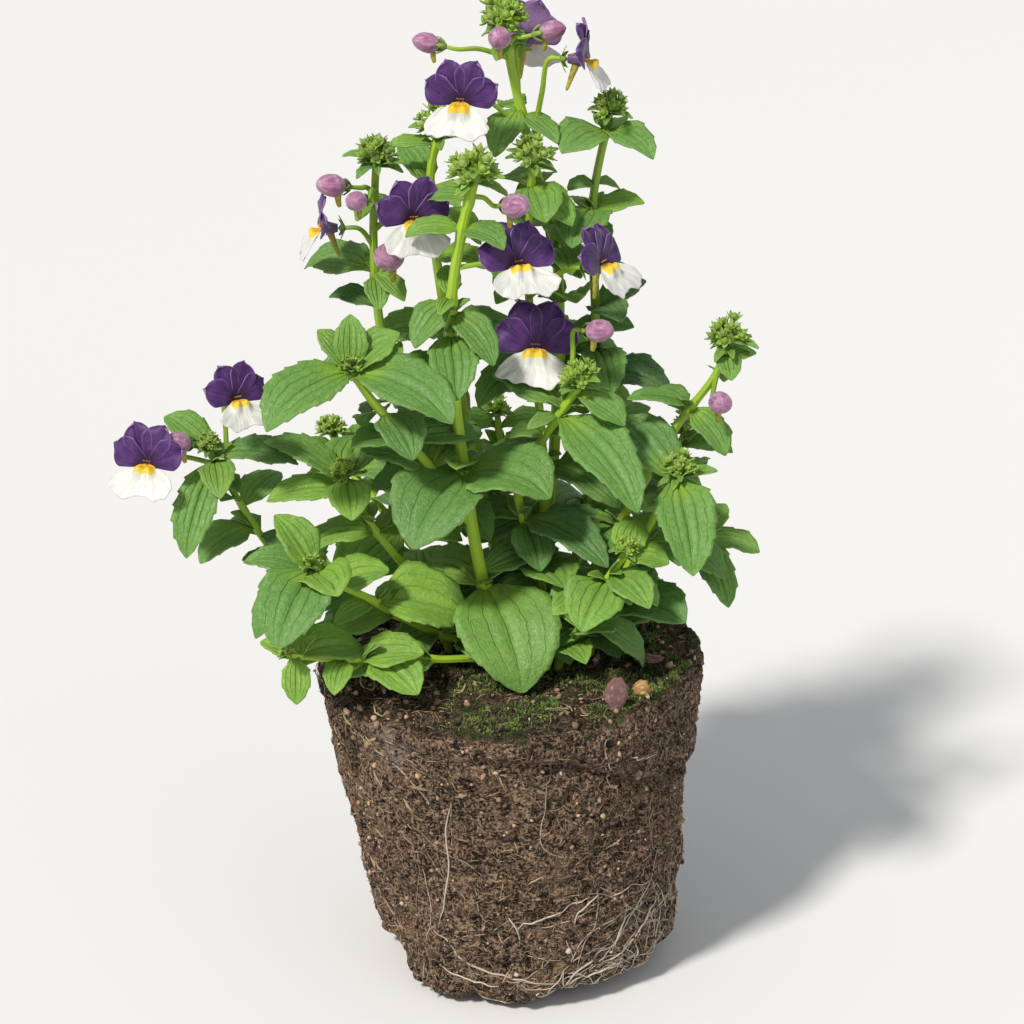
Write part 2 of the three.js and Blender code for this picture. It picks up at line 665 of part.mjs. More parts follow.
// A leaf that would cross a neighbour is bent clear. It tries these [turn, lift] pairs in their order,
// at its full size first.
const LEAF_SIZES = [1, 0.82, 0.66];
const LEAF_TURNS = [
  [0, 0], [14, 0], [-14, 0], [0, 14], [0, -14], [26, 6], [-26, 6],
  [20, -14], [-20, -14], [0, 28], [40, 0], [-40, 0], [30, 26], [-30, 26],
];
const LEAF_TRIES = LEAF_SIZES.flatMap((size) =>
  LEAF_TURNS.map(([turn, lift]) => ({ size, turn: rad(turn), lift: rad(lift) }))
);
const SHARED_VOLUME = 2; // leaves of one stem may meet at their feet, by this much
function leafSpec(curve, [place, heading, length, breadth, rise, droop]) {
  const out = V(Math.cos(rad(heading)), Math.sin(rad(heading)), 0);
  return {
    root: along(pointAt(curve, place), [out, LEAF_SEAT]),
    length,
    breadth,
    heading: rad(heading),
    rise: rad(rise),
    droop: rad(droop),
  };
}
const bent = (spec, { size, turn, lift }) => ({
  ...spec,
  length: spec.length * size,
  heading: spec.heading + turn,
  rise: spec.rise + lift,
});

// Solids placed so far, each with the node that it belongs to.
const placed = [];
const boxesMeet = (a, b) => [0, 1, 2].every((k) => a.min[k] < b.max[k] && b.min[k] < a.max[k]);
function settle(node, solid, isLeaf = false) {
  placed.push({ node, solid, box: solid.boundingBox(), isLeaf });
  return solid;
}
function isClear(node, solid) {
  const box = solid.boundingBox();
  return placed.every((other) => {
    if (!boxesMeet(box, other.box)) return true;
    if (other.node !== node) return solid.intersect(other.solid).isEmpty();
    return !other.isLeaf || solid.intersect(other.solid).volume() < SHARED_VOLUME;
  });
}
function placeLeaf(node, spec) {
  for (const change of LEAF_TRIES) {
    const tried = bent(spec, change);
    if (isClear(node, leafSolid(tried, CLEARANCE))) return settle(node, leafSolid(tried), true);
  }
  return null;
}

// A stem's tube, which thins towards its tip.
function stemTube(curve, radius) {
  const places = samplePlaces(curve);
  const samples = places.map((p) => pointAt(curve, p));
  const radii = places.map((p) => radius * THREE.MathUtils.lerp(STEM.base, STEM.tip, p / places.at(-1)));
  return tube(samples, radii, STEM.sides);
}

// A head of closed green buds: a lump whose corners stand out as buds.
function budHead(curve, size) {
  const Form = size > BIG_HEAD ? THREE.IcosahedronGeometry : THREE.OctahedronGeometry;
  const lump = new Form(size, 1);
  const spots = lump.attributes.position;
  const corners = new Form(1, 0).attributes.position;
  for (let i = 0; i < spots.count; i++) {
    const p = V(0, 0, 0).fromBufferAttribute(spots, i).normalize();
    let nearest = -1;
    for (let k = 0; k < corners.count; k++) {
      nearest = Math.max(nearest, p.dot(V(0, 0, 0).fromBufferAttribute(corners, k)));
    }
    p.multiplyScalar(nearest > 0.99 ? size * 1.1 : size * 0.72);
    spots.setXYZ(i, p.x, p.y, p.z);
  }
  const tip = curve.points.at(-1);
  return fromGeometry(lump.translate(tip.x, tip.y, tip.z + size * 0.45));
}

// A frame at a bloom's or bud's foot: ahead is where it looks, over is its upper side.
function lookFrame({ at, heading, rise = 0 }) {
  const [turn, tilt] = [rad(heading), rad(rise)];
  const ahead = V(Math.cos(turn) * Math.cos(tilt), Math.sin(turn) * Math.cos(tilt), Math.sin(tilt));
  const right = V(-Math.sin(turn), Math.cos(turn), 0).negate();
  const over = right.clone().cross(ahead);
  return (x, y, z) => along(V(...at), [right, x], [ahead, y], [over, z]);
}
function circle(local, count, y, radiusAt, phase = 0) {
  return Array.from({ length: count }, (_, k) => {
    const a = phase + (2 * Math.PI * k) / count;
    return local(radiusAt(k) * Math.sin(a), y, radiusAt(k) * Math.cos(a));
  });
}

// The stalk and the calyx, a small cup that is five-pointed under an open bloom. Both belong to the stem.
function stalk(curve, spec, starred) {
  const local = lookFrame(spec);
  const from = pointAt(curve, spec.place);
  const end = local(0, -0.6, 0);
  const behind = local(0, -4, 0);
  const arched = along(from.clone().lerp(behind, 0.6), [UP, 1]);
  const samples = new THREE.CatmullRomCurve3([from, arched, behind, end]).getPoints(4);
  const edge = starred
    ? circle(local, 10, CALYX.rim, (k) => (k % 2 ? CALYX.notch : CALYX.star))
    : circle(local, 5, CALYX.rim, () => CALYX.plain);
  const cup = lathed([[local(0, CALYX.back, 0)], edge, [local(0, CALYX.front, 0)]]);
  return [tube(samples, samples.map(() => STALK_RADIUS), 3), cup];
}

// The violet half of a bloom: a short tube with its spur, and a fan of four lobes.
function upperLip(spec) {
  const local = lookFrame(spec);
  const k = spec.size;
  const neck = FLOWER.tube * k;
  const throat = lathed([
    [local(0, CALYX.front + CLEARANCE, 0)],
    circle(local, 4, CALYX.front + CLEARANCE + 0.05, () => FLOWER.footRadius * k, Math.PI / 4),
    circle(local, 4, neck, () => FLOWER.tubeRadius * k, Math.PI / 4),
    [local(0, neck, 0)],
  ]);
  const spurAt = (share) => local(0, neck * (0.75 - 0.7 * share), -k * (0.6 + FLOWER.spur * share));
  const spur = tube([0, 0.5, 1].map(spurAt), [1.1 * k, 0.75 * k, 0.45 * k], 3);
  const lobes = LOBE_CENTRES.flatMap((centre) => {
    const reach = Math.abs(centre) < 45 ? 1.03 : 0.95;
    return [[centre - 13, reach], [centre + 12, reach], [centre + 21, 0.72]];
  });
  const fan = [[LOBE_CENTRES[0] - 21, 0.6], ...lobes].map(([degrees, reach]) => {
    const r = FLOWER.lobe * k * reach;
    return local(r * Math.sin(rad(degrees)), neck + 0.6 * k * reach, r * Math.cos(rad(degrees)));
  });
  return join([throat, spur, sheet([[local(0, neck - BLADE, 0)], fan], BLADE)]);
}

// The white half of a bloom: one broad notched lip with a raised palate at the throat.
function lowerLip(spec) {
  const local = lookFrame(spec);
  const k = spec.size;
  const neck = FLOWER.tube * k + CLEARANCE;
  const row = (share) =>
    LIP_EDGE.map(([degrees, reach], i) => {
      const a = rad(degrees);
      const r = FLOWER.lip * k * reach * share;
      const palate = share === LIP_ROWS.palate ? FLOWER.palate * k * Math.cos(a) : 0;
      const ruffle = share === LIP_ROWS.rim ? FLOWER.ruffle * k * (i % 2 ? 1 : -1) : 0;
      const over = 0.2 * k - 0.66 * r + palate + ruffle;
      return local(-0.92 * r * Math.sin(a), neck + 0.6 * (r + palate), over);
    });
  return sheet(Object.values(LIP_ROWS).map(row), BLADE);
}

// A closed bud: an egg with a small spur under it.
function budSolid(spec) {
  const local = lookFrame({ ...spec, rise: BUD_RISE });
  const k = spec.length;
  const foot = CALYX.front + CLEARANCE;
  const rings = BUD_PROFILE.map(([y, r]) => circle(local, 5, foot + y * k, () => r * k));
  const egg = lathed([[local(0, foot, 0)], ...rings, [local(0, CLEARANCE + k, 0)]]);
  const spur = tube([local(0, 0.3 * k, 0), local(0, 0.12 * k, -0.7 * k)], [0.13 * k, 0.07 * k], 3);
  return join([egg, spur]);
}

// Materials, and a mesh for each node.
const PAINTS = {
  soil: { color: 0x4a382c, roughness: 0.95 },
  leaf: { color: 0x4c8a33, roughness: 0.55 },
  violet: { color: 0x3c2463, roughness: 0.6 },
  white: { color: 0xece9e2, roughness: 0.6 },
  pink: { color: 0xb98aa8, roughness: 0.6 },
  bark: { color: 0x7d5450, roughness: 0.9 },
  granule: { color: 0xcfa25a, roughness: 0.7 },
};
const plant = new THREE.Group();
function addNode(name, solid, paint) {
  const { vertProperties, triVerts } = solid.getMesh();
  const geometry = new THREE.BufferGeometry();
  geometry.setAttribute("position", new THREE.BufferAttribute(vertProperties, 3));
  geometry.setIndex(new THREE.BufferAttribute(triVerts, 1));
  geometry.computeVertexNormals();
  const mesh = new THREE.Mesh(geometry, new THREE.MeshStandardMaterial({ metalness: 0, ...PAINTS[paint] }));
  mesh.name = name;
  plant.add(mesh);
}

// The soil first, then what flowers, then the bare stems, and the leaves last, from the front to the
// back, bent clear of all of it.
addNode("root_ball", settle("root_ball", rootBall()), "soil");
for (const [name, spec] of Object.entries(CHIPS)) {
  addNode(name, settle(name, chip(spec)), name === "fertiliser_granule" ? "granule" : "bark");
}
for (const [name, spec] of Object.entries(BLOOMS)) {
  addNode(name + "_upper", settle(name + "_upper", upperLip(spec)), "violet");
  addNode(name + "_lower", settle(name + "_lower", lowerLip(spec)), "white");
}
for (const [name, spec] of Object.entries(BUDS)) addNode(name, settle(name, budSolid(spec)), "pink");

const shoots = [];
const green = {};
for (const [name, stem] of Object.entries(STEMS)) {
  const [x, y] = stem.foot;
  const buried = [[x, y, BALL.height - HOLE.depth], [x, y, BALL.height + RISE_FROM_SOIL]];
  const main = centreline([...buried, ...stem.path]);
  const own = [{ ...stem, curve: main }];
  if (stem.branch) own.push({ ...stem.branch, curve: centreline(stem.branch.path) });
  green[name] = own.flatMap(({ curve, radius, head }) => [stemTube(curve, radius), budHead(curve, head)]);
  for (const spec of Object.values(BLOOMS)) {
    if (spec.stem === name) green[name].push(...stalk(main, spec, true));
  }
  for (const spec of Object.values(BUDS)) {
    if (spec.stem === name) green[name].push(...stalk(main, spec, false));
  }
  green[name].forEach((solid) => settle(name, solid));
  shoots.push(...own.map((shoot) => ({ name, ...shoot })));
}
const wanted = shoots.flatMap(({ name, curve, leaves }) =>
  leaves.map((row) => ({ name, spec: leafSpec(curve, row) }))
);
const frontness = ({ spec }) => spec.root.y + 0.6 * spec.length * Math.sin(spec.heading);
wanted.sort((a, b) => frontness(a) - frontness(b));
for (const { name, spec } of wanted) {
  const leaf = placeLeaf(name, spec);
  if (leaf) green[name].push(leaf);
}
for (const [name, solids] of Object.entries(green)) addNode(name, join(solids), "leaf");

export default plant;
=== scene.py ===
import itertools
import math
import bpy
import numpy as np
from mathutils.kdtree import KDTree
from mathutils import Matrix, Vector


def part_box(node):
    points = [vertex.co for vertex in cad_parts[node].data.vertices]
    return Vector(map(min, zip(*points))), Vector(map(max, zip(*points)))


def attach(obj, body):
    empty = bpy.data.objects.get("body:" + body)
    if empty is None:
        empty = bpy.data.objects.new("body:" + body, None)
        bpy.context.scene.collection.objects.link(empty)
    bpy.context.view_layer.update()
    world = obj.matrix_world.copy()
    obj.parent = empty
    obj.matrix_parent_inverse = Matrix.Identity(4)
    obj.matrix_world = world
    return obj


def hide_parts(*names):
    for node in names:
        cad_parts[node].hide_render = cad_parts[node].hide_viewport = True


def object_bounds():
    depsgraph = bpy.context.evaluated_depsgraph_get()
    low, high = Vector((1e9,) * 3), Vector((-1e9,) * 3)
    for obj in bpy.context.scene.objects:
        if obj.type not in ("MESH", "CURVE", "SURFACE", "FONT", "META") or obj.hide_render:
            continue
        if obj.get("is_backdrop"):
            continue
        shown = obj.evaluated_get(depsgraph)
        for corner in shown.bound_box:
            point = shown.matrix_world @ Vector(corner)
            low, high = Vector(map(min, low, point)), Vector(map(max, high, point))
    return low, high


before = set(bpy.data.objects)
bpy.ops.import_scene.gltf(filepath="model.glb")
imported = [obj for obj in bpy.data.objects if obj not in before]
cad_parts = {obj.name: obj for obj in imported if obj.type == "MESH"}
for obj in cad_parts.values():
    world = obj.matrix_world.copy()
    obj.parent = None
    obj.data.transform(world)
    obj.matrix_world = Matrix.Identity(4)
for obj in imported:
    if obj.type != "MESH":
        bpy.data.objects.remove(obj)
cad_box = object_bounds()

# The plant's driving dimensions in millimetres and degrees, as its solids have them. +Z is up and
# -Y is the front. Heading 0 is to the right and -90 to the front.
MM = 0.001
TOP_RADIUS, FOOT_RADIUS, HEIGHT, TOP_SHIFT = 50, 37.5, 84, -5
FLAT_RADIUS, RIM_STEP, RIM_BLUR, SLOPE, SHOULDER = 27, 1.4, 2, 0.045, 1.8
HOLE_DEPTH, SOIL_RISE = 8, 3
LOBE, LIP, TUBE, SPUR, CLEARANCE = 10.5, 12, 4, 8, 0.3
LEAF_SEAT, LEAF_LEAN, LEAF_FOLD = 0.35, 24, 14
LOBE_CENTRES = (-63, -21, 21, 63)
LIP_EDGE = ((-78, 0.62), (-52, 0.92), (-24, 1), (0, 0.86), (24, 1), (52, 0.92), (78, 0.62))
BUD_RISE = 12

# The camera: its focal length in pixels of a picture so many pixels wide, its place in millimetres
# and how many degrees it looks down.
FOCAL_PIXELS, PICTURE = 3000, 1024
CAMERA_HEIGHT, CAMERA_BACK, CAMERA_RIGHT, CAMERA_DOWN = 405.8, 700.0, -4, 22

# Each stem: its foot, the points that it passes, its radius, the size of its head of buds, how light
# and yellow (up to 1) or dark and blue (down to -1) it is, and its leaves. A leaf is (place on the
# stem, heading, length, breadth, rise, droop). The place counts the stem's points, 1 being the soil.
STEMS = {
    "stem_centre": {
        "foot": (-6, 2), "radius": 1.8, "head": 6, "tone": 0.05,
        "path": [(-11, -3, 104), (-16, -6, 137), (-19, -6, 175), (-16, -8, 199), (-13, -8, 211)],
        "leaves": [
            (2, -67, 33, 0.8, -22, 56), (2, 113, 24, 0.6, 20, 60), (2.95, -35, 27, 0.78, 15, 56),
            (2.95, -118, 29, 0.78, 8, 60), (2.75, 150, 24, 0.6, 20, 60),
            (3.9, -85, 20, 0.6, -8, 46), (3.9, 95, 20, 0.55, 20, 60), (4.1, -45, 18, 0.5, -10, 46),
            (4.2, -140, 15, 0.6, -10, 50), (5, -20, 15, 0.55, 15, 50), (5, 160, 14, 0.5, 15, 50),
            (5.6, 148, 12, 0.5, 10, 30),
        ],
        "branch": {
            "radius": 1.5, "head": 3.2, "tone": 0.0,
            "path": [(-15, -5, 123), (-25, -8, 139), (-38, -12, 157), (-43, -13, 165)],
            "leaves": [
                (2.9, -34, 31, 0.52, 15, 56), (2.9, -136, 30, 0.52, 14, 56),
                (3, 150, 13, 0.6, 60, 30), (3, 20, 15, 0.7, 50, 30), (3, 92, 14, 0.6, 70, 30),
            ],
        },
    },
    "stem_front_right": {
        "foot": (4, -1), "radius": 1.4, "head": 4.8, "tone": -0.1,
        "path": [(3, 4, 106), (-2.5, 4, 128), (6, -5, 148), (12.5, -12, 161)],
        "leaves": [
            (2, -40, 22, 0.85, 0, 40), (2.6, -44, 29, 0.42, 15, 50), (2.6, 140, 24, 0.5, 20, 60),
            (3.05, 124, 7, 0.5, 40, 30), (3.05, -30, 7, 0.5, 40, 30), (4.2, -53, 36, 0.42, 0, 50),
            (4.4, 147, 22, 0.5, 36, 40), (4.5, 4, 10, 0.8, 30, 30), (4.8, -25, 15, 0.6, -5, 40),
        ],
    },
    "stem_right": {
        "foot": (10, 3), "radius": 1.3, "head": 4.8, "tone": -0.3,
        "path": [(17, 2, 107), (27, 0, 127), (37, -2, 147), (46, -4, 161), (49, -4, 169)],
        "leaves": [
            (2.6, -15, 24, 0.5, 5, 50), (2.6, 165, 20, 0.55, 15, 50), (3.4, 100, 20, 0.6, 20, 50),
            (3.4, -60, 16, 0.6, 10, 50), (4.3, -40, 15, 0.6, -18, 40),
            (4.35, -165, 17, 0.34, 32, 34), (5.5, 20, 9, 0.6, 20, 30), (5.7, -77, 8, 0.8, -20, 34),
        ],
        "branch": {
            "radius": 1, "head": 2, "tone": -0.1,
            "path": [(17, 2, 107), (32, 0, 112), (45, -3, 117)],
            "leaves": [
                (1.9, -5, 15, 0.55, 10, 40), (1.8, -60, 20, 0.45, -15, 50),
                (1.95, 60, 13, 0.5, 40, 30),
            ],
        },
    },
    "stem_low_right": {
        "foot": (16, -5), "radius": 1.2, "head": 4, "tone": 0.0,
        "path": [(23, -8, 107), (31, -12, 126), (37, -14, 139)],
        "leaves": [
            (2.6, 165, 20, 0.5, 10, 50), (2.6, -15, 24, 0.5, 10, 50), (3.8, 118, 24, 0.58, 49, 40),
            (3.85, -80, 28, 0.52, -12, 50), (3.9, 0, 10, 0.4, 25, 26),
        ],
    },
    "stem_front": {
        "foot": (8, -11), "radius": 1.2, "head": 3.2, "tone": 0.3,
        "path": [(13, -16, 98), (19, -20, 112), (24, -22, 121)],
        "leaves": [
            (2, 100, 16, 0.6, 20, 50), (3.1, -112, 19, 0.8, 0, 40), (3.25, -57, 17, 0.6, 12, 40),
            (3.4, -15, 14, 0.5, -15, 40), (3.9, 68, 11, 0.85, 50, 30), (3.9, -6, 11, 0.8, 8, 30),
        ],
    },
    "stem_left_front": {
        "foot": (-15, -3), "radius": 1.4, "head": 3, "tone": 0.3,
        "path": [(-26, -7, 94), (-38, -13, 104), (-48, -19, 112), (-53, -23, 117)],
        "leaves": [
            (2.8, 10, 22, 0.7, 20, 50), (3, 5, 24, 0.9, 8, 40), (3.9, 5, 13, 0.9, 30, 30),
            (4.2, 179, 22, 0.42, 34, 40), (4.2, -150, 24, 0.55, -12, 44),
            (4.9, 150, 17, 0.62, 65, 30), (4.9, -50, 15, 0.9, 15, 34), (4.9, -110, 26, 0.7, -2, 48),
        ],
    },
    "stem_low_left": {
        "foot": (-9, -13), "radius": 1.1, "head": 2.4, "tone": 0.3,
        "path": [(-22, -19, 91), (-35, -25, 94), (-48, -30, 96), (-59, -34, 99)],
        "leaves": [
            (2.2, -110, 18, 0.5, 20, 40), (3.3, -43, 17, 0.8, 2, 34), (3.5, -5, 16, 0.75, 25, 34),
            (4.75, 36, 20, 0.68, 8, 34), (4.8, 154, 10, 0.6, 25, 26), (4.8, -87, 12, 0.6, -45, 36),
        ],
    },
    "stem_left": {
        "foot": (-15, 7), "radius": 1.3, "head": 3.2, "tone": 0.35,
        "path": [(-29, 3, 104), (-40, -1, 121), (-46, -5, 135)],
        "leaves": [
            (2.8, 0, 22, 0.5, 20, 50), (2.8, 180, 20, 0.5, 10, 50), (3.6, -174, 22, 0.42, 20, 46),
            (3.8, 178, 24, 0.38, 36, 40), (3.9, 79, 17, 0.78, 50, 28), (3.9, -80, 14, 0.8, -8, 34),
        ],
    },
    "stem_far_left": {
        "foot": (-21, 1), "radius": 1.2, "head": 3, "tone": -0.4,
        "path": [(-40, 0, 97), (-61, -3, 110), (-74, -6, 132), (-79, -8, 143)],
        "leaves": [
            (2.8, 90, 20, 0.6, 20, 50), (3.5, -150, 18, 0.55, 0, 40), (3.75, 54, 15, 0.6, 36, 34),
            (4.65, -109, 27, 0.4, -20, 46), (4.7, -80, 15, 0.6, -12, 36),
            (4.8, 12, 22, 0.42, 12, 40), (4.9, 159, 16, 0.6, 45, 36),
        ],
    },
    "stem_tall": {
        "foot": (2, 15), "radius": 1.6, "head": 5.6, "tone": 0.1,
        "path": [
            (6, 21, 120), (8, 25, 160), (7, 24, 184), (0, 22, 213), (-4, 20, 231), (-6, 20, 242),
        ],
        "leaves": [
            (1.8, 60, 26, 0.55, 20, 60), (1.8, -120, 24, 0.55, 20, 60), (2.9, -20, 24, 0.5, 20, 60),
            (2.9, 160, 24, 0.5, 20, 60), (4, 75, 18, 0.5, 25, 60), (4, -105, 20, 0.55, 20, 50),
            (5.45, -124, 15, 0.6, -20, 36), (5.35, -54, 15, 0.42, 5, 36),
            (5.4, 110, 14, 0.5, 20, 50), (6.6, -110, 8, 0.6, 10, 50), (6.6, 60, 8, 0.6, 10, 50),
        ],
    },
    "stem_tall_right": {
        "foot": (10, 15), "radius": 1.5, "head": 4.2, "tone": -0.5,
        "path": [(17, 20, 130), (17, 21, 170), (16, 20, 197), (20, 19, 221)],
        "leaves": [
            (1.7, 20, 25, 0.55, 20, 60), (1.7, -160, 22, 0.55, 20, 60), (2.7, 100, 22, 0.5, 20, 60),
            (2.7, -80, 22, 0.5, 20, 60), (3.95, -107, 20, 0.7, 15, 50), (3.95, 0, 13, 0.6, 28, 34),
            (3.9, 90, 18, 0.6, 20, 50), (4.8, -135, 16, 0.8, 15, 50), (4.8, -50, 18, 0.5, 15, 50),
            (4.8, 80, 14, 0.6, 20, 50),
        ],
    },
    "stem_tall_left": {
        "foot": (-13, 15), "radius": 1.5, "head": 5.2, "tone": -0.45,
        "path": [(-26, 15, 128), (-36, 11, 163), (-38, 8, 190), (-37, 6, 212)],
        "leaves": [
            (1.8, 130, 25, 0.55, 20, 60), (1.8, -50, 22, 0.55, 20, 60),
            (2.8, -172, 22, 0.55, 20, 60), (2.8, 8, 20, 0.5, 20, 60), (3.75, 150, 22, 0.6, 20, 50),
            (3.7, -84, 11, 0.6, -10, 36), (3.75, -50, 12, 0.5, -5, 36), (4.55, -119, 9, 0.5, 0, 36),
            (4.5, 60, 10, 0.5, 10, 40),
        ],
    },
    "stem_back_left": {
        "foot": (-5, 17), "radius": 1.5, "head": 5.2, "tone": 0.25,
        "path": [(-14, 21, 130), (-23, 18, 185), (-24, 15, 207), (-22, 14, 217)],
        "leaves": [
            (1.8, 170, 24, 0.55, 20, 60), (1.8, -10, 20, 0.55, 20, 60),
            (2.6, -160, 22, 0.5, 25, 60), (2.6, 20, 20, 0.5, 25, 60), (3.8, 119, 18, 0.5, 45, 36),
            (3.8, -60, 14, 0.5, 20, 50), (4.7, -175, 12, 0.4, 20, 40),
        ],
    },
    "stem_middle": {
        "foot": (4, 8), "radius": 1.4, "head": 4.8, "tone": 0.05,
        "path": [(4, 15, 130), (0, 15, 180), (1, 9, 211)],
        "leaves": [
            (2, -35, 25, 0.45, 8, 46), (2, 145, 22, 0.5, 20, 60), (2.5, -120, 22, 0.5, 20, 60),
            (3.1, 60, 16, 0.55, 20, 60), (3.1, -120, 16, 0.55, 20, 60),
            (3.8, -75, 14, 0.85, -5, 36), (3.8, -40, 15, 0.6, 0, 36), (3.8, 120, 14, 0.6, 20, 50),
        ],
    },
    "stem_low_back_right": {
        "foot": (15, 20), "radius": 1.3, "head": 3.6, "tone": 0.0,
        "path": [(28, 32, 104), (38, 42, 118), (42, 46, 128)],
        "leaves": [
            (2, -10, 26, 0.6, 10, 60), (2, 170, 22, 0.6, 20, 60), (3, 70, 24, 0.55, 10, 60),
            (3, -110, 20, 0.55, 30, 60), (3.6, -30, 16, 0.5, 30, 50), (3.6, 150, 14, 0.5, 30, 50),
        ],
    },
    "stem_low_back": {
        "foot": (-2, 23), "radius": 1.3, "head": 3.6, "tone": 0.0,
        "path": [(-5, 40, 106), (-7, 52, 120), (-8, 56, 129)],
        "leaves": [
            (2, 5, 26, 0.6, 10, 60), (2, 175, 24, 0.6, 10, 60), (3, 95, 24, 0.55, 0, 60),
            (3, -85, 20, 0.55, 30, 60), (3.6, 0, 15, 0.5, 30, 50), (3.6, 180, 15, 0.5, 30, 50),
        ],
    },
    "stem_low_back_left": {
        "foot": (-18, 19), "radius": 1.3, "head": 3.6, "tone": 0.1,
        "path": [(-33, 32, 104), (-46, 42, 117), (-52, 46, 127)],
        "leaves": [
            (2, -130, 26, 0.6, 10, 60), (2, 50, 22, 0.6, 20, 60), (3, 140, 24, 0.55, 0, 60),
            (3, -40, 20, 0.55, 30, 60), (3.6, 40, 15, 0.5, 30, 50), (3.6, -140, 15, 0.5, 30, 50),
        ],
    },
}

BLOOMS = {  # stem, place on it, where the stalk ends, heading, rise, size
    "bloom_tall_left": ("stem_tall", 5.1, (-15, 8, 228), -105, -5, 0.95),
    "bloom_tall_right": ("stem_tall", 4.9, (9, 12, 236), -8, 0, 0.9),
    "bloom_tall_back": ("stem_tall", 5.6, (-2, 27, 236), 75, 0, 1),
    "bloom_left_side": ("stem_tall_left", 4, (-46, 4, 196), -175, 0, 0.85),
    "bloom_left_front": ("stem_tall_left", 4.2, (-29, 2, 200), -75, 0, 0.95),
    "bloom_middle": ("stem_centre", 4.6, (-4, -8, 190), -70, 20, 1),
    "bloom_right": ("stem_middle", 2.9, (14, -2, 188), -30, 15, 0.95),
    "bloom_centre": ("stem_front_right", 4.2, (2.3, 7, 164.5), -95, 14, 1.1),
    "bloom_low_left": ("stem_far_left", 4.1, (-73, -8, 156), -60, 15, 0.85),
    "bloom_far_left": ("stem_far_left", 4.6, (-92, -11, 141), -105, 10, 0.95),
}
BUDS = {  # stem, place on it, where the stalk ends, heading, length
    "bud_top_left": ("stem_tall", 6.3, (-21, 13, 239), 180, 7),
    "bud_top_front": ("stem_tall", 6.6, (-7, 13, 241), -90, 8),
    "bud_top_right": ("stem_tall", 6.6, (2, 17, 241), 0, 7),
    "bud_left_outer": ("stem_tall_left", 4.6, (-44, 2, 207), -150, 8),
    "bud_left_inner": ("stem_tall_left", 4.7, (-40, -3, 205), -110, 7),
    "bud_left_pink": ("stem_tall_left", 3.7, (-32, 1, 190), -110, 10),
    "bud_centre": ("stem_centre", 5.7, (-6, -11, 206), -50, 8.5),
    "bud_middle_right": ("stem_front_right", 4.7, (14, -9, 174), -40, 8),
    "bud_right": ("stem_right", 5.2, (46, -9, 156), -80, 8),
    "bud_low_left": ("stem_far_left", 4.8, (-83, -9, 145), -140, 8),
}


# Roots that show on the ball, as (angle, height) points.
ROOTS = (
    ((-110, 62), (-113, 54), (-114, 43), (-117, 33), (-121, 24)),
    ((-124, 22), (-117, 19), (-110, 14), (-99, 12), (-88, 10), (-77, 9)),
    ((-92, 26), (-87, 28), (-80, 29), (-73, 32), (-66, 34)),
    ((-95, 30), (-92, 26), (-91, 22)),
    ((-71, 27), (-67, 32), (-62, 34)),
    ((-79, 4), (-71, 11), (-61, 14), (-52, 20), (-49, 28)),
    ((-61, 11), (-49, 14), (-39, 21), (-34, 25), (-31, 28)),
    ((-77, 9), (-65, 12), (-57, 16), (-43, 28), (-33, 43)),
    ((-41, 71), (-49, 72), (-53, 74)),
    ((-124, 11), (-111, 9), (-100, 9)),
    ((-62, 31), (-51, 33), (-39, 33)),
    ((-33, 6), (-31, 15), (-29, 22), (-39, 33)),
)


UP = np.array((0.0, 0.0, 1.0))
NONE = (0, 0, 0)
TURN = 2 * math.pi
TINY = 1e-9
ASKEW = (0.31, 0.87, 0.2)  # a direction that no tube starts in
HASH, SCRAMBLE, SEED_STEP = (374761393, 668265263, 1274126177), 1103515245, 31.7


def unit(v):
    return v / np.linalg.norm(v)


def polar(angle):
    return np.cos(angle), np.sin(angle)


def smooth(share):
    return share * share * (3 - 2 * share)


def ramp(x, low, high):
    """0 up to low and 1 from high on, with a smooth rise between them."""
    return smooth(np.clip((x - low) / np.maximum(high - low, TINY), 0, 1))


def bump(x, half):
    """1 at 0, falling off to both sides within about half."""
    return np.exp(-((x / half) ** 2))


def net(rows, columns):
    """Two grids of numbers, one that changes from row to row and one from column to column."""
    return (values.astype(float) for values in np.meshgrid(rows, columns, indexing="ij"))


def seeded(name, step=0):
    return np.random.default_rng(sum(name.encode()) + step)


def noise(points, size, seed=0):
    """Smooth noise from -1 to 1 at each point, with lumps of about the given size."""
    spot = np.asarray(points, float) / size + SEED_STEP * seed
    cell = np.floor(spot).astype(np.int64)
    part = smooth(spot - cell)
    total = np.zeros(spot.shape[:-1])
    for corner in np.ndindex(2, 2, 2):
        number = ((cell + np.array(corner)) * HASH).sum(-1)
        number = (number ^ (number >> 13)) * SCRAMBLE
        value = ((number ^ (number >> 16)) & 0xFFFF) / (0xFFFF / 2) - 1
        total += value * np.prod(np.where(np.array(corner), part, 1 - part), axis=-1)
    return total


# The stems' centrelines.
def spline(points, t):
    """A point on the smooth curve through points. t counts the points."""
    points = np.asarray(points, float)
    last = len(points) - 1
    i = min(int(t), last - 1)
    weight = t - i
    p1, p2 = points[i], points[i + 1]
    p0 = points[i - 1] if i else 2 * p1 - p2
    p3 = points[i + 2] if i + 2 <= last else 2 * p2 - p1
    d0, d1, d2 = (np.linalg.norm(b - a) ** 0.5 for a, b in ((p0, p1), (p1, p2), (p2, p3)))
    t1 = ((p1 - p0) / d0 - (p2 - p0) / (d0 + d1) + (p2 - p1) / d1) * d1
    t2 = ((p2 - p1) / d1 - (p3 - p1) / (d1 + d2) + (p3 - p2) / d2) * d1
    square = -3 * p1 + 3 * p2 - 2 * t1 - t2
    cube = 2 * p1 - 2 * p2 + t1 + t2
    return p1 + weight * (t1 + weight * (square + weight * cube))


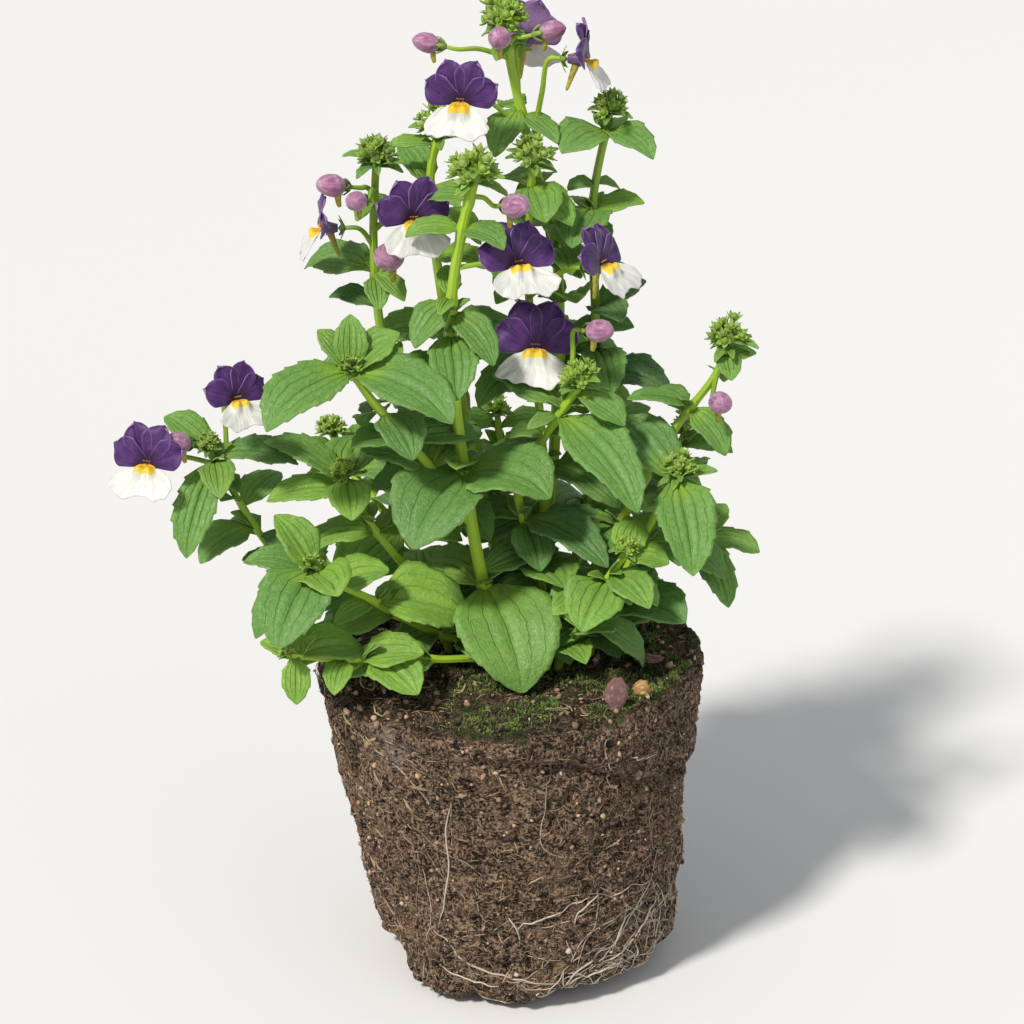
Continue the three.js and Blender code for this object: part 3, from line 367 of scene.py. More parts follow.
def smooth_line(points, count):
    """So many samples of the smooth curve through points."""
    return [spline(points, t) for t in np.linspace(0, len(points) - 1, count)]


def straight(points, place):
    """The point at a place on the solid's stem, which is straight between a few places."""
    places = [0, 0.5, 1, 1.5, *range(2, len(points))]
    k = max(next((i for i, p in enumerate(places) if p >= place), len(places) - 1), 1)
    low, high = places[k - 1], places[k]
    share = (place - low) / (high - low)
    return (1 - share) * spline(points, low) + share * spline(points, high)


def heading_frame(heading):
    """The directions out along a heading and to its left side."""
    x, y = polar(math.radians(heading))
    return np.array((x, y, 0)), np.array((-y, x, 0))


def looking(at, heading, rise):
    """Places x to the right of, y ahead of and z over a bloom's foot."""
    out, left = heading_frame(heading)
    flat, up = polar(math.radians(rise))
    ahead, right = out * flat + up * UP, -left
    over = np.cross(right, ahead)
    at = np.array(at, float)

    def local(x, y, z):
        x, y, z = (np.asarray(v, float)[..., None] for v in np.broadcast_arrays(x, y, z))
        return at + x * right + y * ahead + z * over

    return local


# Meshes. Every surface is closed, and its corners run anticlockwise as seen from outside.
def grid(rows, columns, wrap=False, flip=False):
    """The quads between rows of points. wrap joins each row's last point to its first."""
    i = np.arange(rows - 1)[:, None] * columns
    j = np.arange(columns if wrap else columns - 1)[None, :]
    k = (j + 1) % columns
    corners = [i + j, i + columns + j, i + columns + k, i + k]
    if flip:
        corners.reverse()
    return np.stack([np.broadcast_to(c, (rows - 1, j.size)).ravel() for c in corners], 1)


def closed_rings(count, sides):
    """The faces of rings of points, closed at both ends around the two poles that follow them."""
    around = np.arange(sides)
    after = (around + 1) % sides
    poles, last = count * sides, (count - 1) * sides
    foot = np.stack([around * 0 + poles, after, around], 1)
    tip = np.stack([around * 0 + poles + 1, around + last, after + last], 1)
    return [grid(count, sides, wrap=True, flip=True), foot, tip]


class Skin:
    """One mesh of closed surfaces. Each point keeps two triples that its material reads."""

    def __init__(self):
        self.points, self.here, self.sort = [], [], []
        self.faces, self.looks = [], []
        self.count = 0

    def add(self, points, faces, look=0, here=NONE, sort=NONE):
        points = np.reshape(points, (-1, 3))
        self.points.append(points)
        self.here.append(np.broadcast_to(here, points.shape))
        self.sort.append(np.broadcast_to(sort, points.shape))
        for block in faces:
            self.faces.append(np.asarray(block) + self.count)
            self.looks.append(np.full(len(block), look))
        self.count += len(points)

    def shell(self, top, thickness, look, here, sort):
        """A thin sheet given by a grid of points, closed with an underside and a rim."""
        rows, columns = top.shape[:2]
        size = rows * columns
        normal = np.cross(np.gradient(top, axis=0), np.gradient(top, axis=1))
        normal /= np.maximum(np.linalg.norm(normal, axis=2, keepdims=True), TINY)
        sheets = (top + way * thickness / 2 for way in (normal, -normal))
        points = np.concatenate([sheet.reshape(-1, 3) for sheet in sheets])
        number = np.arange(size).reshape(rows, columns)
        edge = [number[0, :-1], number[:-1, -1], number[-1, :0:-1], number[:0:-1, 0]]
        edge = np.concatenate(edge)
        after = np.roll(edge, -1)
        rim = np.stack([edge, after, after + size, edge + size], 1)
        faces = [grid(rows, columns), grid(rows, columns, flip=True) + size, rim]
        here, sort = (np.broadcast_to(v, top.shape).reshape(-1, 3) for v in (here, sort))
        under = sort.copy()
        under[:, 1] = 1
        self.add(points, faces, look, np.concatenate([here, here]), np.concatenate([sort, under]))

    def tube(self, samples, radii, sides, look=0, sort=NONE, ribs=0.0):
        """A round or ribbed tube through the samples, closed at both ends."""
        samples = np.asarray(samples, float)
        radii = np.broadcast_to(radii, len(samples))
        direction = np.gradient(samples, axis=0)
        direction /= np.linalg.norm(direction, axis=1, keepdims=True)
        side = unit(np.cross(direction[0], ASKEW))
        around = np.arange(sides)
        angle = around * TURN / sides
        swell = 1 + ribs * np.cos(4 * angle) + 0.4 * ribs * np.cos(12 * angle + 1)
        rings = []
        for p, r, d in zip(samples, radii, direction):
            side = unit(side - d * side.dot(d))
            other = np.cross(d, side)
            turned = np.outer(np.cos(angle) * swell, side) + np.outer(np.sin(angle) * swell, other)
            rings.append(p + r * turned)
        count = len(samples)
        points = np.concatenate([np.reshape(rings, (-1, 3)), samples[:1], samples[-1:]])
        length = np.concatenate([[0], np.cumsum(np.linalg.norm(np.diff(samples, axis=0), axis=1))])
        here = np.zeros((len(points), 3))
        here[:-2, 0] = np.tile(around / sides, count)
        here[:-2, 1] = np.repeat(length, sides)
        here[:-2, 2] = np.repeat(length / length[-1], sides)
        here[-1, 1:] = length[-1], 1
        self.add(points, closed_rings(count, sides), look, here, sort)

    def egg(self, foot, axis, length, radius, sort, sides=8, rows=6):
        """A closed egg of sepal skin from its foot along its axis."""
        share = 0.5 - 0.5 * np.cos(math.pi * (np.arange(rows) + 0.4) / (rows - 0.2))
        width = radius * np.sin(math.pi * share**0.9) ** 0.75
        self.tube(foot + np.outer(share, axis * length), width, sides, SEPAL, sort)

    def piece(self, name, materials, slot, *nodes):
        """The finished object, which rides on the plant and stands for its nodes."""
        mesh = bpy.data.meshes.new(name)
        points = np.concatenate(self.points) * MM
        corners = np.concatenate([f.ravel() for f in self.faces])
        sizes = np.concatenate([np.full(len(f), f.shape[1]) for f in self.faces])
        mesh.vertices.add(len(points))
        mesh.vertices.foreach_set("co", points.ravel())
        mesh.loops.add(len(corners))
        mesh.loops.foreach_set("vertex_index", corners)
        mesh.polygons.add(len(sizes))
        mesh.polygons.foreach_set("loop_start", np.cumsum(sizes) - sizes)
        mesh.polygons.foreach_set("material_index", np.concatenate(self.looks))
        for key, values in (("here", self.here), ("sort", self.sort)):
            note = mesh.attributes.new(key, "FLOAT_VECTOR", "POINT")
            note.data.foreach_set("vector", np.concatenate(values).ravel())
        for material in materials:
            mesh.materials.append(material)
        mesh.update(calc_edges=True)
        mesh.validate()
        mesh.shade_smooth()
        made = bpy.data.objects.new(name, mesh)
        bpy.context.scene.collection.objects.link(made)
        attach(made, "root")
        if nodes:
            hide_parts(*nodes)


# Materials. "here" holds a point's place on its surface, and "sort" its tone, its side and the draw
# of the leaf, petal or strand that it belongs to.
SOCKETS = {
    "specular": "Specular IOR Level",
    "sheen": "Sheen Weight",
    "sheen_roughness": "Sheen Roughness",
}
VEINS, VEIN_WIDTHS = (0.36, 0.68), (0.42, 0.3, 0.26)  # shares of half the width, and millimetres
STEM_STREAKS = 50.3  # eight streaks around a stem
MOULD_AT = (-0.0345, -0.0375, 0.076)  # in metres


class Shader:
    """A material's nodes, with short ways to add them."""

    def __init__(self, name):
        self.material = bpy.data.materials.new(name)
        self.material.use_nodes = True
        self.tree = self.material.node_tree
        self.tree.nodes.clear()
        self.place = self.add("TexCoord").outputs["Object"]

    def add(self, kind, inputs=None, **settings):
        made = self.tree.nodes.new("ShaderNode" + kind)
        for key, value in settings.items():
            setattr(made, key, value)
        for key, value in (inputs or {}).items():
            self.put(made.inputs[key], value)
        return made

    def put(self, socket, value):
        if isinstance(value, bpy.types.NodeSocket):
            self.tree.links.new(value, socket)
        elif isinstance(value, tuple) and socket.type == "RGBA":
            socket.default_value = (*value[:3], 1)
        else:
            socket.default_value = value

    def read(self, name):
        """The three numbers that a point keeps under a name."""
        vector = self.add("Attribute", attribute_name=name).outputs["Vector"]
        return self.add("SeparateXYZ", {0: vector}).outputs

    def math(self, operation, a, b=0.0, c=0.0):
        return self.add("Math", {0: a, 1: b, 2: c}, operation=operation).outputs[0]

    def span(self, value, low, high, to_low=0.0, to_high=1.0):
        """The value, led smoothly from its range low to high into the range to_low to to_high."""
        inputs = {"Value": value, "From Min": low, "From Max": high}
        inputs.update({"To Min": to_low, "To Max": to_high})
        return self.add("MapRange", inputs, interpolation_type="SMOOTHSTEP").outputs[0]

    def mix(self, share, a, b):
        """The colour that changes from a to b as share grows from 0 to 1."""
        return self.add("Mix", {0: share, 6: a, 7: b}, data_type="RGBA").outputs[2]

    def tint(self, colour, share, strength, other):
        """colour with share times strength of the other in it."""
        return self.mix(self.math("MULTIPLY", share, strength), colour, other)

    def noise(self, size, detail=3.0, rough=0.5, vector=None):
        """Noise with lumps of about size millimetres."""
        where = self.place if vector is None else vector
        inputs = {"Vector": where, "Scale": 1 / (size * MM), "Detail": detail, "Roughness": rough}
        return self.add("TexNoise", inputs).outputs["Fac"]

    def streaks(self, x, y, z, scale):
        """Noise over a net of its own, which runs along a petal where x is stretched."""
        where = self.add("CombineXYZ", {0: x, 1: y, 2: z}).outputs[0]
        inputs = {"Vector": where, "Scale": scale, "Detail": 3.0}
        return self.add("TexNoise", inputs).outputs["Fac"]

    def cells(self, size):
        """The distance from the middle of cells of about size millimetres."""
        inputs = {"Vector": self.place, "Scale": 1 / (size * MM)}
        return self.add("TexVoronoi", inputs, feature="F1").outputs["Distance"]

    def total(self, *parts):
        """The sum of heights, each given as (value, millimetres)."""
        whole = 0.0
        for value, height in parts:
            whole = self.math("MULTIPLY_ADD", value, height, whole)
        return whole

    def finish(self, colour, rough, height=None, through=None, share=0.0, **fixed):
        """The surface: its colour, its fine relief and the light that comes through it."""
        bsdf = self.add("BsdfPrincipled", {"Base Color": colour, "Roughness": rough})
        for key, value in fixed.items():
            bsdf.inputs[SOCKETS[key]].default_value = value
        made = bsdf.outputs[0]
        if height is not None:
            bump = self.add("Bump", {"Height": height, "Distance": MM, "Strength": 1.0})
            self.put(bsdf.inputs["Normal"], bump.outputs[0])
        if through is not None:
            glow = self.add("BsdfTranslucent", {"Color": through})
            made = self.add("MixShader", {0: share, 1: made, 2: glow.outputs[0]}).outputs[0]
        self.put(self.add("OutputMaterial").inputs["Surface"], made)
        return self.material


def make_leaf_skin():
    s = Shader("leaf_skin")
    u, along, half = s.read("here")
    tone, under, draw = s.read("sort")
    side = s.math("ABSOLUTE", u)
    wobble = s.math("MULTIPLY_ADD", s.noise(5, 1), 0.06, -0.03)
    veins = 0.0
    for centre, width, strength in zip((0, *VEINS), VEIN_WIDTHS, (1, 0.75, 0.5)):
        off = s.math("ABSOLUTE", s.math("SUBTRACT", s.math("ADD", side, wobble), centre))
        gap = s.math("MULTIPLY", off, half)
        fade = s.span(along, 1, 0.55, 0, strength)
        veins = s.math("MAXIMUM", veins, s.math("MULTIPLY", s.span(gap, width, 0), fade))
    flat = {0: s.math("MULTIPLY", u, half), 1: s.math("MULTIPLY", along, 24), 2: draw}
    inputs = {"Vector": s.add("CombineXYZ", flat).outputs[0], "Scale": 0.55}
    net = s.add("TexVoronoi", inputs, feature="DISTANCE_TO_EDGE").outputs["Distance"]
    net = s.span(net, 0, 0.09, 1, 0)
    light = s.span(tone, -1, 1)
    deep = s.mix(s.span(tone, -1, 0), (0.022, 0.080, 0.044), (0.150, 0.350, 0.052))
    # Some leaves, drawn at random, turn blue-grey green: partly their own colour, partly a painted
    # bluish sheen of grazing light.
    deep = s.mix(s.span(draw, 0.6, 1, 0, 0.5), deep, (0.060, 0.190, 0.080))
    green = s.mix(s.span(tone, 0, 0.8), deep, (0.30, 0.54, 0.045))
    green = s.mix(s.span(s.noise(7, 3), 0.35, 0.7), green, s.mix(0.45, green, (0.17, 0.34, 0.07)))
    shade, shine = s.mix(0.3, green, (0.03, 0.10, 0.03)), s.mix(0.2, green, (0.26, 0.42, 0.14))
    green = s.mix(s.span(s.noise(1.0, 3, 0.65), 0.38, 0.66), shade, shine)
    base = s.math("MULTIPLY", s.span(along, 0.42, 0), s.span(side, 1.1, 0.1, 0.25, 1))
    green = s.tint(green, base, s.span(light, 0, 0.6, 0.45, 0.95), (0.34, 0.56, 0.030))
    pale = s.mix(0.6, green, (0.34, 0.52, 0.15))
    green = s.tint(green, veins, 0.6, pale)
    green = s.tint(green, net, 0.1, pale)
    dots = s.span(s.cells(0.5), 0.25, 0.7, 0, 0.25)
    green = s.mix(dots, green, s.mix(0.5, green, (0.36, 0.52, 0.20)))
    green = s.tint(green, s.span(side, 0.93, 1), 0.35, (0.32, 0.42, 0.14))
    green = s.tint(green, under, 0.6, (0.22, 0.34, 0.13))
    height = s.total((veins, -0.42), (net, -0.04), (s.cells(0.55), 0.10), (s.noise(1.6, 3), 0.16))
    rough = s.span(s.noise(1.1, 2), 0.3, 0.7, 0.42, 0.62)
    glow = s.mix(light, (0.16, 0.36, 0.015), (0.50, 0.74, 0.03))
    return s.finish(green, rough, height, glow, 0.32, specular=0.5)


def make_stem_skin():
    s = Shader("stem_skin")
    around, length = s.read("here")[:2]
    tone, buried = s.read("sort")[:2]
    green = s.mix(s.span(tone, -1, 0.7), (0.13, 0.24, 0.030), (0.46, 0.68, 0.035))
    green = s.tint(green, s.noise(4, 3), 0.5, (0.30, 0.50, 0.04))
    low = s.math("MULTIPLY", buried, s.span(length, 26, 9))
    green = s.tint(green, low, 0.55, (0.13, 0.15, 0.035))
    streak = s.math("SINE", s.math("MULTIPLY", around, STEM_STREAKS))
    green = s.mix(s.span(streak, 0.2, 1, 0, 0.25), green, (0.36, 0.48, 0.10))
    height = s.total((streak, 0.035), (s.noise(0.8, 2), 0.05))
    return s.finish(green, 0.42, height, (0.36, 0.60, 0.03), 0.16, specular=0.45)


def make_sepal_skin():
    s = Shader("sepal_skin")
    tone, _, draw = s.read("sort")
    u, along = s.read("here")[:2]
    green = s.mix(s.span(tone, -1, 1), (0.040, 0.105, 0.038), (0.36, 0.56, 0.07))
    green = s.tint(green, s.span(draw, 0.45, 1), 0.55, (0.42, 0.52, 0.16))
    green = s.tint(green, s.noise(1.2, 2), 0.35, (0.12, 0.25, 0.045))
    green = s.tint(green, s.span(along, 0.7, 1), 0.25, (0.16, 0.12, 0.04))
    height = s.total((s.noise(0.6, 2), 0.06), (s.math("ABSOLUTE", u), 0.05))
    return s.finish(green, 0.48, height, (0.34, 0.56, 0.05), 0.15, specular=0.4)


def make_violet():
    s = Shader("violet_petal")
    u, along = s.read("here")[:2]
    _, under, draw = s.read("sort")
    side = s.math("ABSOLUTE", u)
    fan = (s.math("MULTIPLY", value, share) for value, share in ((u, 5.5), (along, 0.8), (draw, 9)))
    streak = s.streaks(*fan, 2.2)
    body = s.mix(s.span(streak, 0.3, 0.7), (0.030, 0.008, 0.070), (0.078, 0.020, 0.145))
    body = s.mix(s.span(s.noise(2.4, 3), 0.4, 0.75, 0, 0.4), body, (0.145, 0.045, 0.22))
    body = s.tint(body, s.span(along, 0.45, 0.05), 0.8, (0.010, 0.004, 0.026))
    rim = s.math("MAXIMUM", s.span(side, 0.9, 1), s.span(along, 0.955, 1))
    body = s.tint(body, rim, 0.55, (0.26, 0.16, 0.40))
    body = s.tint(body, under, 0.6, (0.36, 0.20, 0.42))
    height = s.total((streak, 0.09), (s.noise(0.5, 2), 0.035))
    soft = {"sheen": 0.25, "sheen_roughness": 0.4, "specular": 0.35}
    return s.finish(body, 0.52, height, (0.16, 0.05, 0.34), 0.12, **soft)


def make_white():
    s = Shader("white_petal")
    x, share, r = s.read("here")
    _, under, draw = s.read("sort")
    across = s.math("MULTIPLY", s.math("DIVIDE", x, s.math("MAXIMUM", r, 0.6)), 4)
    streak = s.streaks(across, s.math("MULTIPLY", share, 0.9), draw, 3.0)
    body = s.mix(s.span(streak, 0.35, 0.65), (0.62, 0.615, 0.575), (0.745, 0.75, 0.71))
    body = s.tint(body, s.span(share, 0.75, 1), 0.16, (0.62, 0.56, 0.68))
    body = s.tint(body, under, 0.5, (0.58, 0.50, 0.58))
    band = s.math("MULTIPLY", s.span(share, 0.50, 0.40), s.span(share, 0.03, 0.08))
    palate = s.math("MULTIPLY", s.span(s.math("ABSOLUTE", x), 3.1, 2.3), band)
    palate = s.span(s.math("ADD", palate, s.math("MULTIPLY_ADD", streak, 0.5, -0.25)), 0.3, 0.62)
    yellow = s.mix(s.span(share, 0.5, 0.25), (0.80, 0.64, 0.06), (0.80, 0.46, 0.004))
    body = s.mix(palate, body, yellow)
    lines = s.span(s.math("SINE", s.math("MULTIPLY", x, 7)), 0.55, 1)
    lines = s.math("MULTIPLY", lines, s.math("MULTIPLY", palate, s.span(share, 0.30, 0.2)))
    body = s.tint(body, lines, 0.6, (0.45, 0.16, 0.01))
    height = s.total((streak, 0.22), (s.noise(0.45, 2), 0.05))
    return s.finish(body, 0.5, height, (0.80, 0.80, 0.72), 0.15, sheen=0.1, specular=0.35)


def make_plain(name, low, high, rough, relief, glow=None, share=0.0, size=1.2):
    """A surface whose two colours mix in small cloudy patches."""
    s = Shader(name)
    draw = s.read("sort")[2]
    patch = s.span(s.math("MULTIPLY_ADD", draw, 0.4, s.noise(size, 3)), 0.45, 0.95)
    height = s.total((s.noise(size * 0.6, 3), relief))
    return s.finish(s.mix(patch, low, high), rough, height, glow, share)


def make_pink():
    s = Shader("pink_bud")
    around, share = s.read("here")[:2]
    streak = s.streaks(s.math("MULTIPLY", around, 9), share, s.read("sort")[2], 2.4)
    body = s.mix(s.span(streak, 0.3, 0.7), (0.26, 0.085, 0.20), (0.46, 0.23, 0.35))
    body = s.tint(body, s.span(share, 0.3, 0), 0.55, (0.50, 0.44, 0.30))
    # Pale patches by noise: painted highlights on the bud's skin.
    body = s.mix(s.span(s.noise(1.8, 3), 0.5, 0.75, 0, 0.5), body, (0.66, 0.52, 0.60))
    height = s.total((streak, 0.12), (s.noise(0.6, 2), 0.04))
    return s.finish(body, 0.45, height, (0.60, 0.28, 0.45), 0.16, sheen=0.25, specular=0.4)


def make_peat():
    s = Shader("peat")
    x, _, z = s.add("SeparateXYZ", {0: s.place}).outputs
    fine = s.noise(0.75, 6, 0.78)
    coarse = s.noise(6, 4, 0.6)
    soil = s.mix(s.span(fine, 0.46, 0.59), (0.007, 0.004, 0.003), (0.45, 0.290, 0.190))
    soil = s.mix(s.span(coarse, 0.42, 0.7, 0, 0.12), soil, (0.36, 0.235, 0.158))
    soil = s.mix(s.span(s.noise(14, 3), 0.48, 0.68, 0, 0.25), soil, (0.50, 0.32, 0.18))
    # Near-black patches of about 2 mm: painted shade, the shadow in the peat's pits.
    soil = s.mix(s.span(s.noise(2.0, 4, 0.7), 0.50, 0.38, 0, 0.95), soil, (0.008, 0.005, 0.004))
    fleck = s.span(s.noise(1.1, 5, 0.85), 0.60, 0.66)
    soil = s.tint(soil, fleck, 0.9, (0.74, 0.57, 0.40))
    for stretch in ((1, 1, 0.2), (0.25, 0.25, 1), (0.3, 1, 0.5)):
        bent = s.add("VectorMath", {0: s.place, 1: stretch}, operation="MULTIPLY").outputs[0]
        thread = s.span(s.noise(0.8, 4, 0.7, bent), 0.59, 0.64)
        soil = s.tint(soil, thread, 0.75, (0.62, 0.43, 0.28))
    white = s.span(s.cells(3.6), 0.075, 0.045)
    soil = s.tint(soil, white, 0.6, (0.50, 0.47, 0.42))
    mould_at = s.add("VectorMath", {0: s.place, 1: MOULD_AT}, operation="DISTANCE").outputs["Value"]
    mould = s.span(s.noise(1.0, 5, 0.75), 0.40, 0.66)
    mould = s.math("MULTIPLY", s.span(mould_at, 0.0085, 0.001), mould)
    soil = s.tint(soil, mould, 0.8, (0.56, 0.54, 0.51))
    normal = s.add("SeparateXYZ", {0: s.add("NewGeometry").outputs["Normal"]}).outputs
    top = s.math("MULTIPLY", s.span(normal[2], 0.3, 0.75), s.span(z, 0.078, 0.082))
    mossy = s.math("MULTIPLY", top, s.span(s.noise(8, 4, 0.65), 0.44, 0.58))
    mossy = s.math("MULTIPLY", mossy, s.span(x, -0.030, -0.004))
    moss = s.mix(s.span(s.noise(1.2, 3), 0.35, 0.7), (0.012, 0.022, 0.006), (0.095, 0.150, 0.024))
    soil = s.tint(soil, top, 0.5, (0.020, 0.015, 0.009))
    soil = s.tint(soil, mossy, 0.8, moss)
    dust = s.noise(0.35, 4, 0.75)
    height = s.total((fine, 2.1), (s.cells(0.75), 0.6), (dust, 0.35), (fleck, 0.15))
    return s.finish(soil, 0.93, height, specular=0.2)


def make_strand(name, low, high, rough, **fixed):
    """Roots and fibres, each strand as pale as its tone says."""
    s = Shader(name)
    body = s.mix(s.read("sort")[0], low, high)
    body = s.tint(body, s.noise(2.2, 3), 0.45, s.mix(0.5, body, low))
    return s.finish(body, rough, s.total((s.noise(0.5, 2), 0.08)), **fixed)


def make_crumb():
    s = Shader("crumb")
    tone = s.read("sort")[0]
    body = s.mix(s.span(tone, 0, 0.8), (0.014, 0.008, 0.006), (0.40, 0.262, 0.175))
    body = s.mix(s.span(tone, 0.80, 0.86, 0, 0.9), body, (0.62, 0.43, 0.26))
    body = s.mix(s.span(tone, 0.945, 0.95, 0, 0.9), body, (0.17, 0.065, 0.045))
    body = s.mix(s.span(tone, 0.975, 0.98), body, (0.58, 0.55, 0.49))
    body = s.tint(body, s.noise(0.7, 3), 0.5, s.mix(0.6, body, (0.02, 0.013, 0.01)))
    return s.finish(body, 0.9, s.total((s.noise(0.4, 3), 0.25)), specular=0.2)


leaf_skin = make_leaf_skin()
stem_skin = make_stem_skin()
sepal_skin = make_sepal_skin()
violet = make_violet()
white = make_white()
pink = make_pink()
peat = make_peat()
crumb = make_crumb()
throat = make_plain(
    "throat", (0.10, 0.05, 0.14), (0.55, 0.50, 0.46), 0.5, 0.05, (0.4, 0.3, 0.4), 0.1)
spur_skin = make_plain(
    "spur", (0.24, 0.20, 0.030), (0.50, 0.44, 0.045), 0.42, 0.05, (0.5, 0.42, 0.03), 0.15)
fringe = make_plain("fringe", (0.55, 0.26, 0.010), (0.75, 0.46, 0.015), 0.5, 0.03)
moss_skin = make_plain(
    "moss", (0.014, 0.028, 0.007), (0.17, 0.27, 0.036), 0.8, 0.05, (0.12, 0.2, 0.02), 0.12, 5)
bark = make_plain("bark", (0.17, 0.085, 0.078), (0.50, 0.33, 0.30), 0.85, 0.45, size=1.3)
granule = make_plain("granule", (0.34, 0.19, 0.06), (0.70, 0.54, 0.28), 0.7, 0.4, size=1.1)
straw = make_strand("straw", (0.17, 0.12, 0.05), (0.52, 0.45, 0.20), 0.7)
root_skin = make_strand("root", (0.20, 0.14, 0.095), (0.66, 0.60, 0.50), 0.6, specular=0.3)
fibre = make_strand("fibre", (0.05, 0.03, 0.02), (0.56, 0.39, 0.24), 0.8)


# Leaves. A solid's leaf has its corners at these shares of its length, more on a longer leaf.
LEAF, STEM, SEPAL = 0, 1, 2
LONG = (16, 28)
STATIONS = ((0.22, 0.62), (0.14, 0.42, 0.74), (0.1, 0.32, 0.57, 0.8))
SOLID_TOOTH, SOLID_NECK = 0.07, -0.35
LEAF_SIZES = (1, 0.82, 0.66)
LEAF_TURNS = ((0, 0), (14, 0), (-14, 0), (0, 14), (0, -14), (26, 6), (-26, 6),
              (20, -14), (-20, -14), (0, 28), (40, 0), (-40, 0), (30, 26), (-30, 26))
HALF_COLUMNS = (0.09, 0.19, 0.28, 0.36, 0.52, 0.68, 0.84, 1)
COLUMNS = np.array([-u for u in reversed(HALF_COLUMNS)] + [0] + list(HALF_COLUMNS))
TOOTH_STEPS, TOOTH_DEPTH = (0, 0.5, 0.9), 0.75
LEAF_THICKNESS, SEPAL_THICKNESS = 0.26, 0.16
SMALL_LEAF = 16
GOLDEN_TURN = 2.39996


def ovate(s):
    """The outline of a solid's leaf: its half width along its length, 1 where it is widest."""
    return s**0.6 * (1 - s) / 0.347


def full(s):
    """The real blade's outline, a little fuller towards its tip than the solid's."""
    return s**0.62 * np.clip(1 - s, 0, 1) ** 0.78 / 0.382


def leaf_points(root, leaf, s, u, half):
    """Points of a leaf at shares s of its length and u of its half width."""
    heading, length, rise, droop = leaf
    out, side = heading_frame(heading)
    rise, droop = math.radians(rise), math.radians(droop)
    bend = rise - droop * s
    reach = length * (math.sin(rise) - np.sin(bend)) / droop
    climb = length * (np.cos(bend) - math.cos(rise)) / droop
    middle = root + reach[..., None] * out + climb[..., None] * UP
    normal = -np.sin(bend)[..., None] * out + np.cos(bend)[..., None] * UP
    lean = math.radians(LEAF_LEAN) * math.cos(math.radians(heading))
    raised = math.radians(LEAF_FOLD) + np.sign(u) * lean
    flat = (u * half * np.cos(raised))[..., None] * side
    return middle + flat + (np.abs(u) * half * np.sin(raised))[..., None] * normal, normal


def grown_leaf(points, row, near):
    """The way that the solid's leaf took past its neighbours, found by the solid's own corners."""
    place, heading, length, breadth, rise, droop = row
    best = None
    for size in LEAF_SIZES:
        for turn, lift in LEAF_TURNS:
            leaf = (heading + turn, length * size, rise + lift, droop)
            out, _ = heading_frame(heading)
            root = straight(points, place) + LEAF_SEAT * out
            stations = np.array(STATIONS[sum(leaf[1] > limit for limit in LONG)])
            tooth = np.where(np.arange(len(stations)) % 2, SOLID_TOOTH, -SOLID_TOOTH)
            tooth[0] = SOLID_NECK
            half = 0.5 * breadth * leaf[1] * ovate(stations) * (1 + tooth)
            corners = [leaf_points(root, leaf, np.array([1.0]), np.zeros(1), np.zeros(1))[0]]
            for u in (-1, 1):
                edge = np.full(len(stations), u)
                corners.append(leaf_points(root, leaf, stations, edge, half)[0])
            gaps = [near.find(p * MM)[2] / MM for p in np.concatenate(corners)]
            miss = float(np.mean(gaps))
            if best is None or miss < best[0] - 0.02:
                best = (miss, leaf, root)
    return best


def add_leaf(skin, root, leaf, breadth, tone, rng, shift=None):
    """A toothed blade with sunken veins, raised between them, on the solid's own surface."""
    length = leaf[1]
    teeth = int(np.clip(round(length / 4), 2, 8))
    s = np.array([(i + f) / teeth for i in range(teeth) for f in TOOTH_STEPS] + [1.0])
    s, u = net(s, COLUMNS if length > SMALL_LEAF else COLUMNS[::2])
    tooth = TOOTH_DEPTH * min(1, length / 24) * ((s * teeth) % 1) ** 1.5
    tooth = tooth * ramp(s, 0.12, 0.3) * ramp(-s, -0.99, -0.9)
    neck = 1 - 0.35 * ramp(-s, -0.3, -0.05)
    half = 0.5 * breadth * length * full(s) * neck
    half = np.maximum(half + tooth, 0.12 + 0.45 * ramp(-s, -0.25, 0))
    points, normal = leaf_points(root, leaf, s, u, half)
    side = np.abs(u)
    body = np.sin(math.pi * np.clip(s, 0, 1) ** 0.8)
    puff = np.zeros_like(s)
    for low, high in zip((0, *VEINS), (*VEINS, 1)):
        share = np.clip((side - low) / (high - low), 0, 1)
        puff += np.where((side >= low) & (side <= high), np.sin(math.pi * share), 0)
    wide = min(1, breadth * length / 14)
    phase, wave = rng.uniform(0, 6.3, 2), rng.uniform(0.45, 1.15) * wide
    ripple = np.sin(TURN * (1.4 * s) + np.where(u > 0, phase[0], phase[1]))
    ripple = wave * side**2 * ripple * body
    lift = wide * 0.5 * puff * body + ripple
    lift -= wide * 0.25 * bump(side, 0.07) * body
    lift += wide * (0.3 * noise(points, 5, 3) + 0.16 * noise(points, 2.2, 4))
    lift -= length * rng.uniform(0.0, 0.05) * ramp(s, 0.7, 1) ** 2
    points = points + lift[..., None] * normal
    if shift is not None:
        points = points + (1 - s)[..., None] * shift
    here = np.stack([u, s, half], -1)
    skin.shell(points, LEAF_THICKNESS, LEAF, here, (tone, 0, rng.uniform()))


